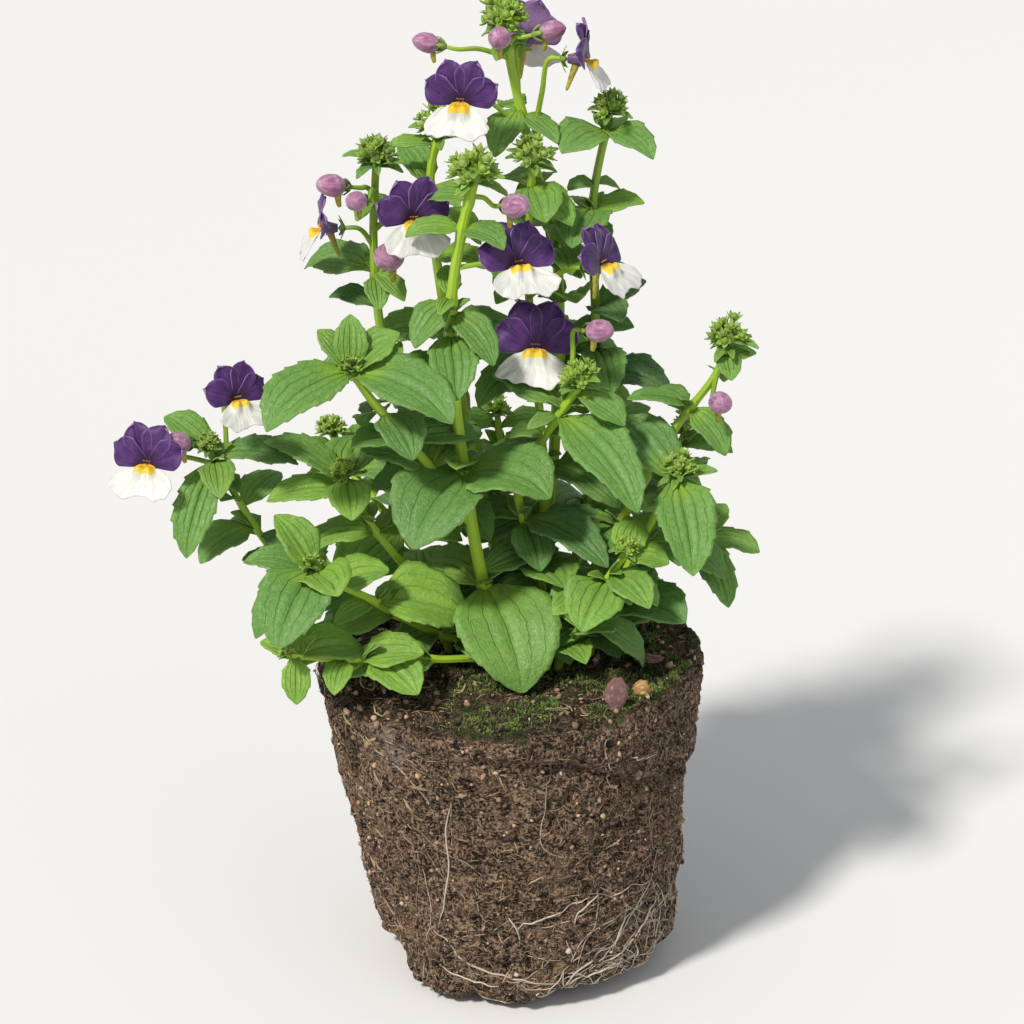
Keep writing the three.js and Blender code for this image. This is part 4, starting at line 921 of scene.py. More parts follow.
# Heads of closed buds, stalks and calyces.
def add_head(skin, centre, size, tone, rng):
    """A cluster of small round closed buds in short sepals, over a few narrow bracts."""
    skin.egg(centre - 0.6 * size * UP, UP, 1.15 * size, 0.5 * size, (tone - 0.2, 0, 0.2))
    count = int(8 + 2.2 * size)
    for k in range(count):
        height = 1 - 1.5 * (k + 0.5) / count
        turn = GOLDEN_TURN * k + rng.uniform(-0.35, 0.35)
        flat = math.sqrt(1 - height * height)
        out = np.array((flat * math.cos(turn), flat * math.sin(turn), height))
        axis = unit(out + 0.6 * UP)
        length = size * rng.uniform(0.34, 0.5)
        foot = centre + out * size * rng.uniform(0.38, 0.78)
        bent = (centre + foot) / 2 - 0.05 * size * UP
        skin.tube([centre, bent, foot], 0.1 * size, 4, STEM, (tone, 0, 0.5))
        mood = (np.clip(tone + rng.uniform(-0.25, 0.35), -1, 1), 0, rng.uniform())
        skin.egg(foot, axis, length, 0.46 * length, mood, 7, 5)
        light = (min(mood[0] + 0.35, 1), 0, mood[2])
        add_sepals(skin, foot, axis, length * np.array((0.95, 0.52, 0.3, 0.4)), light, turn)
    for k in range(9):
        turn = 40 * k + rng.uniform(-18, 18)
        bract = (turn, size * rng.uniform(0.9, 1.7), rng.uniform(-10, 55), 40)
        root = centre - size * rng.uniform(0.3, 0.7) * UP
        add_leaf(skin, root, bract, 0.34, np.clip(tone + 0.35, -1, 1), rng)


def add_sepals(skin, foot, axis, sizes, sort, turn):
    """Five pointed blades around a flower's foot: how long, apart, wide and bent outwards."""
    length, spread, width, out_bend = sizes
    side = unit(np.cross(axis, (0.2, 0.5, 0.84)))
    other = np.cross(axis, side)
    s, u = net(np.linspace(0, 1, 4), (-1, 0, 1))
    for k in range(5):
        a = turn + TURN * k / 5
        out = math.cos(a) * side + math.sin(a) * other
        across = np.cross(out, axis)
        away = spread * np.sin(math.pi * 0.5 * np.minimum(1.35 * s, 1)) + out_bend * s**2
        wide = width * np.sin(math.pi * np.clip(0.12 + 0.88 * s, 0, 1)) ** 0.8
        points = foot + (away - 0.25 * width * u**2)[..., None] * out
        points = points + (length * s)[..., None] * axis + (u * wide)[..., None] * across
        skin.shell(points, SEPAL_THICKNESS, SEPAL, np.stack([u, s, wide], -1), sort)


def add_stalk(skin, points, place, at, heading, rise, starred, tone, rng):
    """The stalk of a bloom or bud, and the calyx that holds it."""
    local = looking(at, heading, rise)
    start = straight(points, place)
    behind, end = local(0, -4, 0), local(0, -0.6, 0)
    line = [start, 0.4 * start + 0.6 * behind + UP, behind, end]
    skin.tube(smooth_line(line, 22), np.linspace(0.72, 0.5, 22), 8, STEM, (tone, 0, 0.4), 0.05)
    foot, ahead = local(0, -1.5, 0), unit(local(0, 1, 0) - local(0, 0, 0))
    skin.egg(foot, ahead, 1.9, 1.05, (tone, 0, 0.3))
    sizes = (1.7, 1.6, 0.75, 1.9) if starred else (3.1, 2.0, 0.7, 0.2)
    add_sepals(skin, foot, ahead, sizes, (tone + 0.05, 0, rng.uniform()), 0.3)


def add_stem(skin, points, radius, leaves, tone, buried):
    """A four-ribbed stem, a little thicker where leaves leave it."""
    last = len(points) - 1
    samples = np.array(smooth_line(points, 10 * last + 1))
    t = np.linspace(0, last, 10 * last + 1)
    radii = radius * (0.98 - 0.4 * t / last)
    for row in leaves:
        gap = np.linalg.norm(samples - straight(points, row[0]), axis=1)
        radii = np.maximum(radii, radius * (1 - 0.4 * t / last) * (1 + 0.3 * bump(gap, 1.6)))
    skin.tube(samples, radii, 16, STEM, (tone, float(buried), 0.5), 0.07)


def shoots_of(stem):
    """A stem's shoots: the points of each, its row and whether it stands in the soil."""
    x, y = stem["foot"]
    buried = [(x, y, HEIGHT - HOLE_DEPTH), (x, y, HEIGHT + SOIL_RISE)]
    shoots = [(buried + stem["path"], stem, True)]
    if "branch" in stem:
        shoots.append((stem["branch"]["path"], stem["branch"], False))
    return shoots


def plan_stem(name, stem):
    """Each shoot's leaves as the solid has them: root, leaf, breadth, tone and foot's shift."""
    rng = seeded(name)
    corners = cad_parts[name].data.vertices
    near = KDTree(len(corners))
    for i, v in enumerate(corners):
        near.insert(v.co, i)
    near.balance()
    plan = []
    for points, shoot, _ in shoots_of(stem):
        rows = []
        for row in shoot["leaves"]:
            _, leaf, root = grown_leaf(points, row, near)
            young = ramp(-leaf[1], -20, -9)
            shift = spline(points, row[0]) - straight(points, row[0])
            least = 0.6 * ramp(-root[2], -114, -102)
            tone = max(shoot["tone"], least) + 0.6 * young + rng.uniform(-0.3, 0.25)
            tone = np.clip(tone, -1, 1)
            rows.append((root, leaf, row[3], tone, shift))
        plan.append(rows)
    return plan


def blade(root, leaf, breadth):
    """A coarse net of points over a leaf, for the room that it takes."""
    s, u = net(np.linspace(0.15, 1, 9), np.linspace(-1, 1, 5))
    return leaf_points(root, leaf, s, u, 0.5 * breadth * leaf[1] * ovate(s))[0].reshape(-1, 3)


# Pairs of small leaves stand so far apart along a stem, have so many tries and may overlap so much.
PAIR_STEP, TRIES, MOST_CLASH = 0.42, 16, 0.12


class Crowd:
    """The room that leaves, blooms and buds take, and the lines of sight that stay open."""

    CELL = 2.6
    LEAST, MOST = (-96, -46, HEIGHT + 3), (56, 68, 205)

    def __init__(self):
        self.taken = set()
        self.seen, self.clear, self.behind = [], [], []
        for rows in GROWTH.values():
            for root, leaf, breadth, _, _ in sum(rows, []):
                points = blade(root, leaf, breadth)
                self.take(points)
                if leaf[1] > 21 and math.sin(math.radians(leaf[0])) < 0.3:
                    self.keep_clear(points.mean(0), 0.36 * leaf[1], 1)
        for _, _, at, heading, rise, _ in BLOOMS.values():
            self.keep_clear(looking(at, heading, rise)(0, 5, 0), 13, 13)
        for _, _, at, _, _ in BUDS.values():
            self.keep_clear(np.array(at, float), 7, 7)
        for stem in STEMS.values():
            for points, shoot, _ in shoots_of(stem):
                room = 1.3 * shoot["head"]
                self.keep_clear(np.array(points[-1], float), room, room)
        lists = (self.seen, self.clear, self.behind)
        self.seen, self.clear, self.behind = (np.array(v) for v in lists)
        self.sight = np.array((CAMERA_RIGHT, -CAMERA_BACK, CAMERA_HEIGHT)) - self.seen
        self.sight /= np.linalg.norm(self.sight, axis=1, keepdims=True)

    def keep_clear(self, spot, around, behind):
        """Keeps a round window open from the camera to a spot, and some way behind it."""
        self.seen.append(spot)
        self.clear.append(around)
        self.behind.append(behind)

    def cells(self, points):
        return set(map(tuple, np.floor(points / self.CELL).astype(int).tolist()))

    def take(self, points):
        self.taken |= self.cells(points)

    def clash(self, points):
        """The share of a leaf that has no room, or 1 outside the plant or before a flower."""
        if np.any(points < self.LEAST) or np.any(points > self.MOST):
            return 1
        offset = points[:, None] - self.seen
        along = (offset * self.sight).sum(2)
        off = np.linalg.norm(offset - along[..., None] * self.sight, axis=2)
        if np.any((along > -self.behind) & (off < self.clear)):
            return 1
        mine = self.cells(points)
        return len(mine & self.taken) / len(mine)


def fill_in(points, shoot, rng):
    """More leaves in pairs between the solid's own, each turned to where it has the most room."""
    last = len(points) - 1
    rows = []
    start = 1.3 if points[0][2] < HEIGHT else 0.5
    for place in np.arange(start, last - 0.25, PAIR_STEP):
        foot = spline(points, place)
        low = ramp(-place, -last + 0.5, -1.5)
        cross = rng.uniform(0, 180)
        for turn in (cross, cross + 180):
            best = None
            for _ in range(TRIES):
                length = (9 + 13 * low) * rng.uniform(0.75, 1.15)
                heading = turn + rng.uniform(-50, 50)
                leaf = (heading, length, rng.uniform(-12, 48), rng.uniform(34, 60))
                breadth = rng.uniform(0.48, 0.7)
                root = foot + LEAF_SEAT * heading_frame(leaf[0])[0]
                room = blade(root, leaf, breadth)
                clash = CROWD.clash(room)
                if best is None or clash < best[0]:
                    best = (clash, root, leaf, breadth, room)
            clash, root, leaf, breadth, room = best
            if clash < MOST_CLASH:
                CROWD.take(room)
                tone = np.clip(shoot["tone"] + 0.4 * (1 - low) + rng.uniform(-0.45, 0.5), -1, 1)
                rows.append((root, leaf, breadth, tone))
    return rows


def grow_stem(name, stem):
    """A stem with its shoots, leaves, heads of buds and flower stalks."""
    skin = Skin()
    rng = seeded(name, 1)
    for (points, shoot, rooted), rows in zip(shoots_of(stem), GROWTH[name]):
        tone = shoot["tone"]
        add_stem(skin, points, shoot["radius"], shoot["leaves"], min(tone + 0.25, 1), rooted)
        tip = np.array(points[-1], float)
        add_head(skin, tip + 0.45 * shoot["head"] * UP, shoot["head"], min(tone + 0.4, 1), rng)
        for root, leaf, breadth, mood, shift in rows:
            add_leaf(skin, root, leaf, breadth, mood, rng, shift)
            if leaf[1] > 15:
                for _ in range(2):
                    heading = leaf[0] + rng.uniform(-60, 60)
                    young = (heading, rng.uniform(4, 8), rng.uniform(40, 75), 30)
                    wide = rng.uniform(0.4, 0.55)
                    add_leaf(skin, root + shift, young, wide, min(mood + 0.6, 1), rng)
        for root, leaf, breadth, mood in fill_in(points, shoot, rng):
            add_leaf(skin, root, leaf, breadth, mood, rng)
        if rooted:
            for place, at, heading, rise, starred in STALKS[name]:
                add_stalk(skin, points, place, at, heading, rise, starred, tone, rng)
    skin.piece(name + "_green", [leaf_skin, stem_skin, sepal_skin], "leaf", name)


# Blooms and closed buds. Each grows from its mouth, and k is its size.
PETAL, THROAT, SPUR_SKIN = 0, 1, 2
PETAL_THICKNESS, LIP_THICKNESS = 0.2, 0.22


def add_petal(skin, local, degrees, reach, half, neck, k, depth, rng):
    """A broad round lobe that starts narrow at the mouth."""
    t, u = net(np.linspace(0.02, 1, 22), np.linspace(-1, 1, 15))
    tip = np.clip(1 - np.clip((t - 0.6) / 0.4, 0, 1) ** 2, 0, 1)
    body = np.minimum(t / 0.6, 1) ** 0.7 * np.sqrt(tip)
    width = half * k * (0.02 + 0.98 * body)
    r = reach * k * t * (1 - 0.07 * u**2 * t)
    a = math.radians(degrees)
    x = r * math.sin(a) + u * width * math.cos(a)
    z = r * math.cos(a) - u * width * math.sin(a)
    y = neck + 0.6 * k * t + depth * ramp(t, 0, 0.35)
    y = y + 0.55 * k * u**2 * body + 0.5 * k * np.sin(math.pi * t)
    y = y - rng.uniform(0.5, 1.3) * k * ramp(t, 0.55, 1) ** 2
    y = y + 0.4 * k * np.sin(4.5 * u + rng.uniform(0, 6)) * ramp(t, 0.5, 1)
    points = local(x, y, z)
    points = points + 0.12 * noise(points, 2.4, 5)[..., None] * (local(0, 1, 0) - local(0, 0, 0))
    here = np.stack([u, t, width], -1)
    skin.shell(points, PETAL_THICKNESS, PETAL, here, (0, 0, rng.uniform()))


def grow_bloom(name, at, heading, rise, k):
    """A bloom's violet half with its throat and spur, and its white lip with a fringe."""
    local = looking(at, heading, rise)
    rng = seeded(name)
    skin = Skin()
    neck = TUBE * k
    mouth = np.array([local(0, y, 0.1 * k) for y in np.linspace(0.45, neck, 9)])
    skin.tube(mouth, k * np.linspace(1.15, 2.15, 9), 16, THROAT)
    spur = [local(0, neck * (0.75 - 0.7 * s), -k * (0.6 + SPUR * s)) for s in (0, 0.35, 0.7, 1)]
    radii = k * np.concatenate([np.linspace(1.15, 0.55, 16), [0.54, 0.5, 0.42, 0.2]])
    skin.tube(smooth_line(spur, 20), radii, 10, SPUR_SKIN, (0, 0, rng.uniform()))
    for i in (0, 3, 1, 2):
        centre = LOBE_CENTRES[i]
        upper = abs(centre) < 45
        share, half, depth = (1.1, 4.1, 0.1) if upper else (1.02, 4.3, 0.42)
        reach = LOBE * share * rng.uniform(0.97, 1.02)
        depth += 0.2 if i % 2 else 0
        add_petal(skin, local, centre, reach, half, neck, k, depth * k, rng)
    skin.piece(name + "_violet", [violet, throat, spur_skin], "petal_violet", name + "_upper")

    lip = Skin()
    neck = TUBE * k + CLEARANCE + 0.25
    share, turn = net(np.linspace(0.05, 1, 26), np.linspace(-84, 84, 53))
    edge = np.interp(turn, *zip(*LIP_EDGE))
    edge = edge * (1 + 0.12 * ramp(np.abs(turn), 45, 70) - 0.3 * ramp(np.abs(turn), 72, 84))
    edge = edge + 0.012 * np.sin(turn / 3.1 + rng.uniform(0, 6))
    a = np.radians(turn)
    r = LIP * k * edge * share
    x = -0.92 * r * np.sin(a)
    humps = bump(np.abs(x) - 1.5 * k, 1.2 * k) + 0.45 * bump(x, 2.2 * k)
    palate = 1.9 * k * bump(share - 0.36, 0.15) * humps * np.cos(a)
    wave = 0.55 * k * np.sin(turn / 11 + rng.uniform(0, 6)) * ramp(share, 0.45, 1) ** 1.5
    curl = 0.6 + 0.4 * np.sin(turn / 17 + rng.uniform(0, 6))
    curl = -0.9 * k * ramp(share, 0.72, 1) ** 2 * curl
    fine = 0.2 * k * np.sin(turn / 3.6 + 5 * share) * ramp(share, 0.55, 1)
    fall = 0.4 + 0.6 * np.cos(a)
    z = 0.2 * k - 0.66 * r * fall + palate + wave + curl + fine
    points = local(x, neck + 0.6 * (r * (0.5 + 0.5 * fall) + palate), z)
    here = np.stack([x / k, share, r / k], -1)
    lip.shell(points, LIP_THICKNESS, PETAL, here, (0, 0, rng.uniform()))
    for i in range(5):
        start = local((i - 2) * 0.42 * k, neck + 0.7 * k, 0.8 * k)
        end = local((i - 2) * 0.48 * k, neck + (1.3 + 0.25 * (i % 2)) * k, 1.1 * k)
        bent = 0.5 * (start + end) + 0.15 * k * UP
        lip.tube([start, bent, end], (0.14, 0.12, 0.05), 5, THROAT)
    lip.piece(name + "_white", [white, fringe], "petal_white", name + "_lower")


BUD_SHARES = (0, 0.04, 0.15, 0.34, 0.6, 0.78, 0.92, 1)
BUD_WIDTHS = (0.02, 0.15, 0.26, 0.345, 0.345, 0.29, 0.17, 0.02)


def grow_bud(name, at, heading, k):
    """A closed bud of folded petals with its short spur."""
    local = looking(at, heading, BUD_RISE)
    rng = seeded(name)
    skin = Skin()
    rows, sides = 18, 24
    share, a = net(np.linspace(0.01, 1, rows), np.arange(sides) * TURN / sides)
    width = k * np.interp(share, BUD_SHARES, BUD_WIDTHS)
    seams = 1 + 0.07 * np.abs(np.sin(2 * a + 2.2 * share + 0.6)) ** 0.6 - 0.05
    mouth = 1 - 0.16 * bump(a - math.pi, 0.4) * ramp(share, 0.35, 0.8)
    width = width * seams * mouth
    y = 0.4 + (k - 0.1) * share
    points = local(width * np.sin(a), y, width * np.cos(a))
    here = np.stack([a / TURN, share, width], -1).reshape(-1, 3)
    poles = [local(0, 0.38, 0), local(0, k + 0.3, 0)]
    points = np.concatenate([points.reshape(-1, 3), poles])
    here = np.concatenate([here, [NONE, (0, 1, 0)]])
    skin.add(points, closed_rings(rows, sides), 0, here, (0, 0, rng.uniform()))
    samples = []
    for s in np.linspace(0, 1, 8):
        samples.append(local(0, k * (0.3 - 0.18 * s), -k * (0.62 * s + 0.1 * math.sin(3.14 * s))))
    skin.tube(samples, k * np.linspace(0.13, 0.065, 8), 9, 1, (0, 0, rng.uniform()))
    skin.piece(name + "_pink", [pink, spur_skin], "bud_pink", name)


# The root ball. Its rim band ends at a course, and its wall is torn around these headings.
SIDES = 330
COURSE_HIGH, COURSE_DROP = 77, 20
TORN_AT, TORN_HALF = -44, 34
NOTCH_AT, NOTCH_HALF, CHUNK_AT, CHUNK_HALF = -156, 13, -130, 17
CREASE, FOOT_TUCK = 3.1, 2.6
MOSS_TUFTS, WALL_CRUMBS, SOIL_CRUMBS = 8600, 3000, 1700


def around(radius, angle):
    """Points on a level circle."""
    return np.stack([np.cos(angle) * radius, np.sin(angle) * radius, angle * 0], -1)


def rim_course(angle):
    """The height of the step below the rim, which sinks towards the right."""
    ring = around(45, angle)
    course = COURSE_HIGH - COURSE_DROP * ramp(np.cos(angle), 0.1, 1.15)
    return course + 1.8 * noise(ring, 13, 3) + 0.8 * noise(ring, 5, 5)


def wall_radius(angle, z):
    """The radius of the ball's wall without its crease and crumbs."""
    course = rim_course(angle)
    rim = RIM_STEP * ramp(z, course - RIM_BLUR, course + RIM_BLUR)
    lumps = 0.55 * np.sin(3 * angle + 1.3 + z / 19) + 0.4 * np.sin(7 * angle - z / 7)
    lumps = lumps + 0.3 * np.sin(13 * angle + z / 4 + 2)
    return FOOT_RADIUS + (TOP_RADIUS - RIM_STEP - FOOT_RADIUS) * z / HEIGHT + rim + lumps


def soil_height(x, y):
    lumps = 0.7 * np.sin(x / 5 + 1) * np.cos(y / 6) + 0.4 * np.sin(x / 2.7 - y / 3.1)
    return HEIGHT + SLOPE * (x - TOP_SHIFT) + lumps * ramp(np.hypot(x - TOP_SHIFT, y), 20, 34)


def near_heading(angle, centre, half):
    """1 at a heading on the wall, falling to 0 about half away from it."""
    gap = (np.degrees(angle) - centre + 180) % 360 - 180
    return np.exp(-((gap / half) ** 4))


def foot_lift(angle):
    """How high the ragged lower edge is over the floor."""
    ragged = 2.6 + 1.2 * np.sin(2 * angle + 0.7) + 0.7 * np.sin(5 * angle + 2)
    ring = around(40, angle)
    for strength, size, seed in ((1.6, 9, 4), (1.3, 3.5, 6), (0.7, 1.6, 8)):
        ragged = ragged + strength * noise(ring, size, seed)
    ragged = ragged + 2.6 * near_heading(angle, TORN_AT, TORN_HALF)
    return np.maximum(ragged - 2.5 * near_heading(angle, CHUNK_AT, CHUNK_HALF), 0.4)


def on_ball(radius, angle, z):
    centre = TOP_SHIFT * z / HEIGHT
    return np.stack([centre + radius * np.cos(angle), radius * np.sin(angle), z + 0 * angle], -1)


def crumbly(points):
    """The height of the peat's lumps and pits, from coarse to fine."""
    coarse = 0.55 * noise(points, 7, 1) + 0.55 * noise(points, 3.1, 2)
    fine = 0.5 * noise(points, 1.6, 3)
    pits = -1.3 * ramp(noise(points, 2.8, 7), 0.34, 0.62)
    return coarse + fine + pits


def skin_radius(angle, z):
    """The radius of the ball's wall with its crease, its torn places and its lumps."""
    radius = wall_radius(angle, z)
    crease = CREASE * bump(z - rim_course(angle) + 1.7, 1.35)
    crease = crease * (0.14 + 0.86 * ramp(np.cos(angle + 0.6), 0.35, 0.95))
    crease = crease * (0.8 + 0.5 * noise(on_ball(radius, angle, z), 8, 6))
    notch = 3 * near_heading(angle, NOTCH_AT, NOTCH_HALF) * ramp(-z, -15, -8)
    chunk = 1.6 * near_heading(angle, CHUNK_AT, CHUNK_HALF) * ramp(-z, -8, -2)
    chamfer = 1.5 * near_heading(angle, TORN_AT, TORN_HALF) * ramp(-z, -9, -3)
    return radius - crease - notch - chamfer + chunk + crumbly(on_ball(radius, angle, z))


def tuck(z, lift):
    """How far the wall turns in at its ragged lower edge."""
    return FOOT_TUCK * (1 - ramp(z - lift, 0, 3.2))


def on_wall(degrees, z, out):
    """Places on the wall, or so far out of it."""
    angle = np.radians(degrees)
    lift = foot_lift(angle)
    z = np.maximum(z, lift + 0.7)
    return on_ball(skin_radius(angle, z) - tuck(z, lift) + out, angle, z)


def on_soil(x, y, up=0.0):
    """Places on the soil's top, or so far over it."""
    z = soil_height(x, y)
    flat = np.stack([x, y, z], -1)
    return flat + (soil_lumps(flat) + up)[..., None] * UP


def soil_lumps(points):
    return crumbly(points) + moss_share(points) * (0.6 + 0.5 * noise(points, 2.2, 9))


def grow_ball():
    """The ball's skin in rings, from the middle of its foot to the middle of its top."""
    angle = np.arange(SIDES) * TURN / SIDES
    floor, level = 0 * angle, HEIGHT + 0 * angle
    foot, lift = wall_radius(angle, floor), foot_lift(angle)
    rows = []
    for radius in (0.6, 7, 14, 21, FLAT_RADIUS - 2):
        rows.append(on_ball(radius + 0 * angle, angle, floor))
    start = FLAT_RADIUS - 2 + 1.5 * noise(rows[-1], 6, 5)
    for share in np.linspace(0.12, 0.9, 8):
        radius = start + (foot - 3.2 - 2 * near_heading(angle, TORN_AT, TORN_HALF) - start) * share
        z = lift * ramp(share, 0.0, 1.0) * (1 + 0.35 * noise(on_ball(radius, angle, floor), 3, 2))
        rows.append(on_ball(radius, angle, np.maximum(z, 0.05)))
    edge = wall_radius(angle, level)
    top = soil_height(*on_ball(edge, angle, level)[:, :2].T) - SHOULDER
    for share in np.linspace(0, 1, 96):
        z = lift + 0.4 + (top - lift - 0.4) * share
        inward = tuck(z, lift) + 0.9 * ramp(share, 0.985, 1)
        rows.append(on_ball(skin_radius(angle, z) - inward, angle, z))
    for share in np.linspace(0.975, 0.012, 46):
        radius = share * edge
        flat = on_soil(TOP_SHIFT + radius * np.cos(angle), radius * np.sin(angle))
        rows.append(flat - 0.9 * ramp(share, 0.93, 0.985) * UP)
    points = np.array(rows)
    poles = [NONE, points[-1].mean(0)]
    skin = Skin()
    skin.add(np.concatenate([points.reshape(-1, 3), poles]), closed_rings(len(rows), SIDES))
    skin.piece("root_ball_peat", [peat], "soil", "root_ball")


# A rough lump of twelve corners, for crumbs.
GOLD = (1 + 5**0.5) / 2
ICO = np.array([(a, b, 0) for a in (-1, 1) for b in (-GOLD, GOLD)], float)
ICO = np.concatenate([ICO, np.roll(ICO, 1, 1), np.roll(ICO, 2, 1)]) / math.hypot(1, GOLD)


def lump_faces():
    """The triangles between near corners."""
    found = []
    for a, b, c in itertools.combinations(range(12), 3):
        sides = [np.linalg.norm(ICO[i] - ICO[j]) for i, j in ((a, b), (b, c), (a, c))]
        if max(sides) < 1.2:
            out = np.dot(np.cross(ICO[b] - ICO[a], ICO[c] - ICO[a]), ICO[a]) > 0
            found.append((a, b, c) if out else (a, c, b))
    return np.array(found)


LUMP = lump_faces()


def add_lump(skin, at, size, rng, sort):
    turned = np.linalg.qr(rng.normal(size=(3, 3)))[0]
    if np.linalg.det(turned) < 0:
        turned[0] *= -1
    shape = ICO * rng.uniform(0.75, 1.2, (12, 1)) * rng.uniform(0.55, 1.25, 3)
    skin.add(at + shape @ turned * size, [LUMP], 0, NONE, sort)


def wander(rng, degrees, z, step, count, course, sway, out=0.0):
    """A strand's slowly turning course over the wall, in degrees, height and distance out."""
    track = []
    for _ in range(count):
        track.append((degrees, z, out + 0.25 * rng.uniform(0, 1)))
        course += rng.uniform(-sway, sway)
        degrees += math.degrees(step * math.cos(course) / 44)
        z = float(np.clip(z + step * math.sin(course), 2.5, HEIGHT - 3))
    return np.array(track)


def stroll(rng, step, sway, lift):
    """A strand's course over the soil's top, in x, y and height over it."""
    r, a = 46 * math.sqrt(rng.uniform(0.03, 1)), rng.uniform(0, TURN)
    turn = rng.uniform(0, TURN) + rng.uniform(-sway, sway) * np.arange(5)
    x = r * math.cos(a) + step * np.arange(5) * np.cos(turn)
    y = r * math.sin(a) + step * np.arange(5) * np.sin(turn)
    return kept_on(x, y, 46.5, np.full(5, lift))


def kept_on(x, y, most, lift):
    """A course over the soil's top that goes no farther out than most."""
    keep = most / np.maximum(np.hypot(x, y), most)
    return np.stack([TOP_SHIFT + x * keep, y * keep, lift], 1)


def scatter(rng, count, radius):
    """Random places on a disc, as x and y."""
    r, a = radius * np.sqrt(rng.uniform(0, 1, count)), rng.uniform(0, TURN, count)
    return TOP_SHIFT + r * np.cos(a), r * np.sin(a)


def lay(skin, rows, place, sides, rounds=0):
    """Lays strands down. Each row is a course, a radius and the strand's own tone."""
    laid = place(*np.concatenate([row[0] for row in rows]).T)
    cuts = np.cumsum([len(row[0]) for row in rows])[:-1]
    for k, (points, (_, radius, tone)) in enumerate(zip(np.split(laid, cuts), rows)):
        for _ in range(rounds):
            points[1:-1] = (points[:-2] + points[1:-1] + points[2:]) / 3
        taper = 1 - 0.75 * np.abs(np.linspace(-1, 1, len(points))) ** 3
        skin.tube(points, radius * taper, sides, 0, (tone, 0, (0.618 * k) % 1))


def grow_roots():
    """The front's main roots, fine ones all around, and mats at the foot's front and right."""
    rng = np.random.default_rng(12)
    skin = Skin()
    rows = []
    for track in ROOTS:
        course = np.array(smooth_line([(a, z, 0) for a, z in track], 9 * len(track)))
        every, third = np.arange(len(course)), np.arange(0, len(course), 3)
        course[:, 1] += 0.5 * np.interp(every, third, rng.normal(size=len(third)))
        course[:, 2] = 0.15
        rows.append((course, rng.uniform(0.19, 0.3), rng.uniform(0.55, 0.8)))
    for _ in range(100):
        low = rng.uniform() < 0.75
        z = rng.uniform(4, 32) if low else rng.uniform(25, 74)
        course = rng.choice((0, math.pi)) + rng.normal(0, 0.5)
        if rng.uniform() < 0.22:
            course += math.pi / 2
        start, count = rng.uniform(0, 360), int(rng.uniform(9, 34))
        walk = wander(rng, start, z, 1.1, count, course, 0.3, -0.1)
        rows.append((walk, rng.uniform(0.07, 0.17), rng.uniform(0.15, 0.6)))
    for _ in range(17):
        start, z, count = rng.normal(-62, 16), rng.uniform(4, 14), int(rng.uniform(18, 46))
        walk = wander(rng, start, z, 1.2, count, rng.normal(0.3, 0.7), 0.34, -0.05)
        rows.append((walk, rng.uniform(0.08, 0.2), rng.uniform(0.3, 0.85)))
    for _ in range(14):
        start, z, count = rng.normal(-33, 10), rng.uniform(8, 30), int(rng.uniform(10, 26))
        walk = wander(rng, start, z, 1.1, count, rng.uniform(0, 6.3), 0.4, 0)
        rows.append((walk, rng.uniform(0.08, 0.22), rng.uniform(0.35, 0.9)))
    lay(skin, rows, on_wall, 5, 2)
    rows = []
    for centre, spread, count, high in ((-50, 8, 22, 6), (-82, 9, 11, 2.5)):
        for _ in range(count):
            start = rng.normal(centre, spread)
            z = float(foot_lift(np.radians(start)) + rng.uniform(0, high))
            steps, course = int(rng.uniform(10, 22)), rng.choice((0, 3.14)) + rng.normal(0, 0.4)
            walk = wander(rng, start, z, 0.8, steps, course, 0.5, 0.1)
            rows.append((walk, rng.uniform(0.1, 0.24), rng.uniform(0.5, 0.95)))
    lay(skin, rows, on_wall, 5, 1)
    skin.piece("root_ball_roots", [root_skin], "soil")


def grow_fibres():
    """The peat's fibres: fine and coarse ones on the wall, and more on the soil's top."""
    rng = np.random.default_rng(7)
    skin = Skin()
    rows = []
    for _ in range(2700):
        start, z, step = rng.uniform(0, 360), rng.uniform(3, 81), rng.uniform(0.45, 1.1)
        walk = wander(rng, start, z, step, 5, rng.uniform(0, 6.3), 0.5)
        walk[rng.integers(0, 2) * 4, 2] += rng.uniform(-0.3, 0.6)
        rows.append((walk, rng.uniform(0.06, 0.15), rng.uniform(0, 1) ** 1.3))
    for _ in range(150):
        start, z, step = rng.uniform(0, 360), rng.uniform(4, 80), rng.uniform(0.7, 1.5)
        walk = wander(rng, start, z, step, 5, rng.normal(0, 0.7), 0.2)
        rows.append((walk, rng.uniform(0.2, 0.38), rng.uniform(0.1, 0.8)))
    lay(skin, rows, on_wall, 3)
    rows = []
    for _ in range(620):
        walk = stroll(rng, rng.uniform(0.4, 1.3), 0.25, 0.2)
        rows.append((walk, rng.uniform(0.07, 0.19), rng.uniform(0, 1)))
    lay(skin, rows, on_soil, 3)
    skin.piece("root_ball_fibres", [fibre], "soil")


def grow_crumbs():
    """Crumbs of peat, bark and perlite on the wall and on the soil's top."""
    rng = np.random.default_rng(3)
    skin = Skin()
    ranges = ((0, 360), (3, 82), (-0.2, 0.2))
    for at in on_wall(*[rng.uniform(low, high, WALL_CRUMBS) for low, high in ranges]):
        size = 0.22 + 0.7 * rng.uniform() ** 3.2
        add_lump(skin, at, size, rng, (rng.uniform(), 0, rng.uniform()))
    spots = scatter(rng, SOIL_CRUMBS, 48)
    for at in on_soil(*spots, rng.uniform(-0.1, 0.3, SOIL_CRUMBS)):
        tone = rng.uniform() ** 1.7
        add_lump(skin, at, 0.25 + 0.85 * rng.uniform() ** 3.2, rng, (tone, 0, rng.uniform()))
    skin.piece("root_ball_crumbs", [crumb], "soil")


def moss_share(points):
    """Where moss grows on the soil: in patches, most of them to the right of the stems."""
    patches = ramp(noise(points, 8, 8), -0.35, 0.1)
    return patches * ramp(points[..., 0], -32, -2)


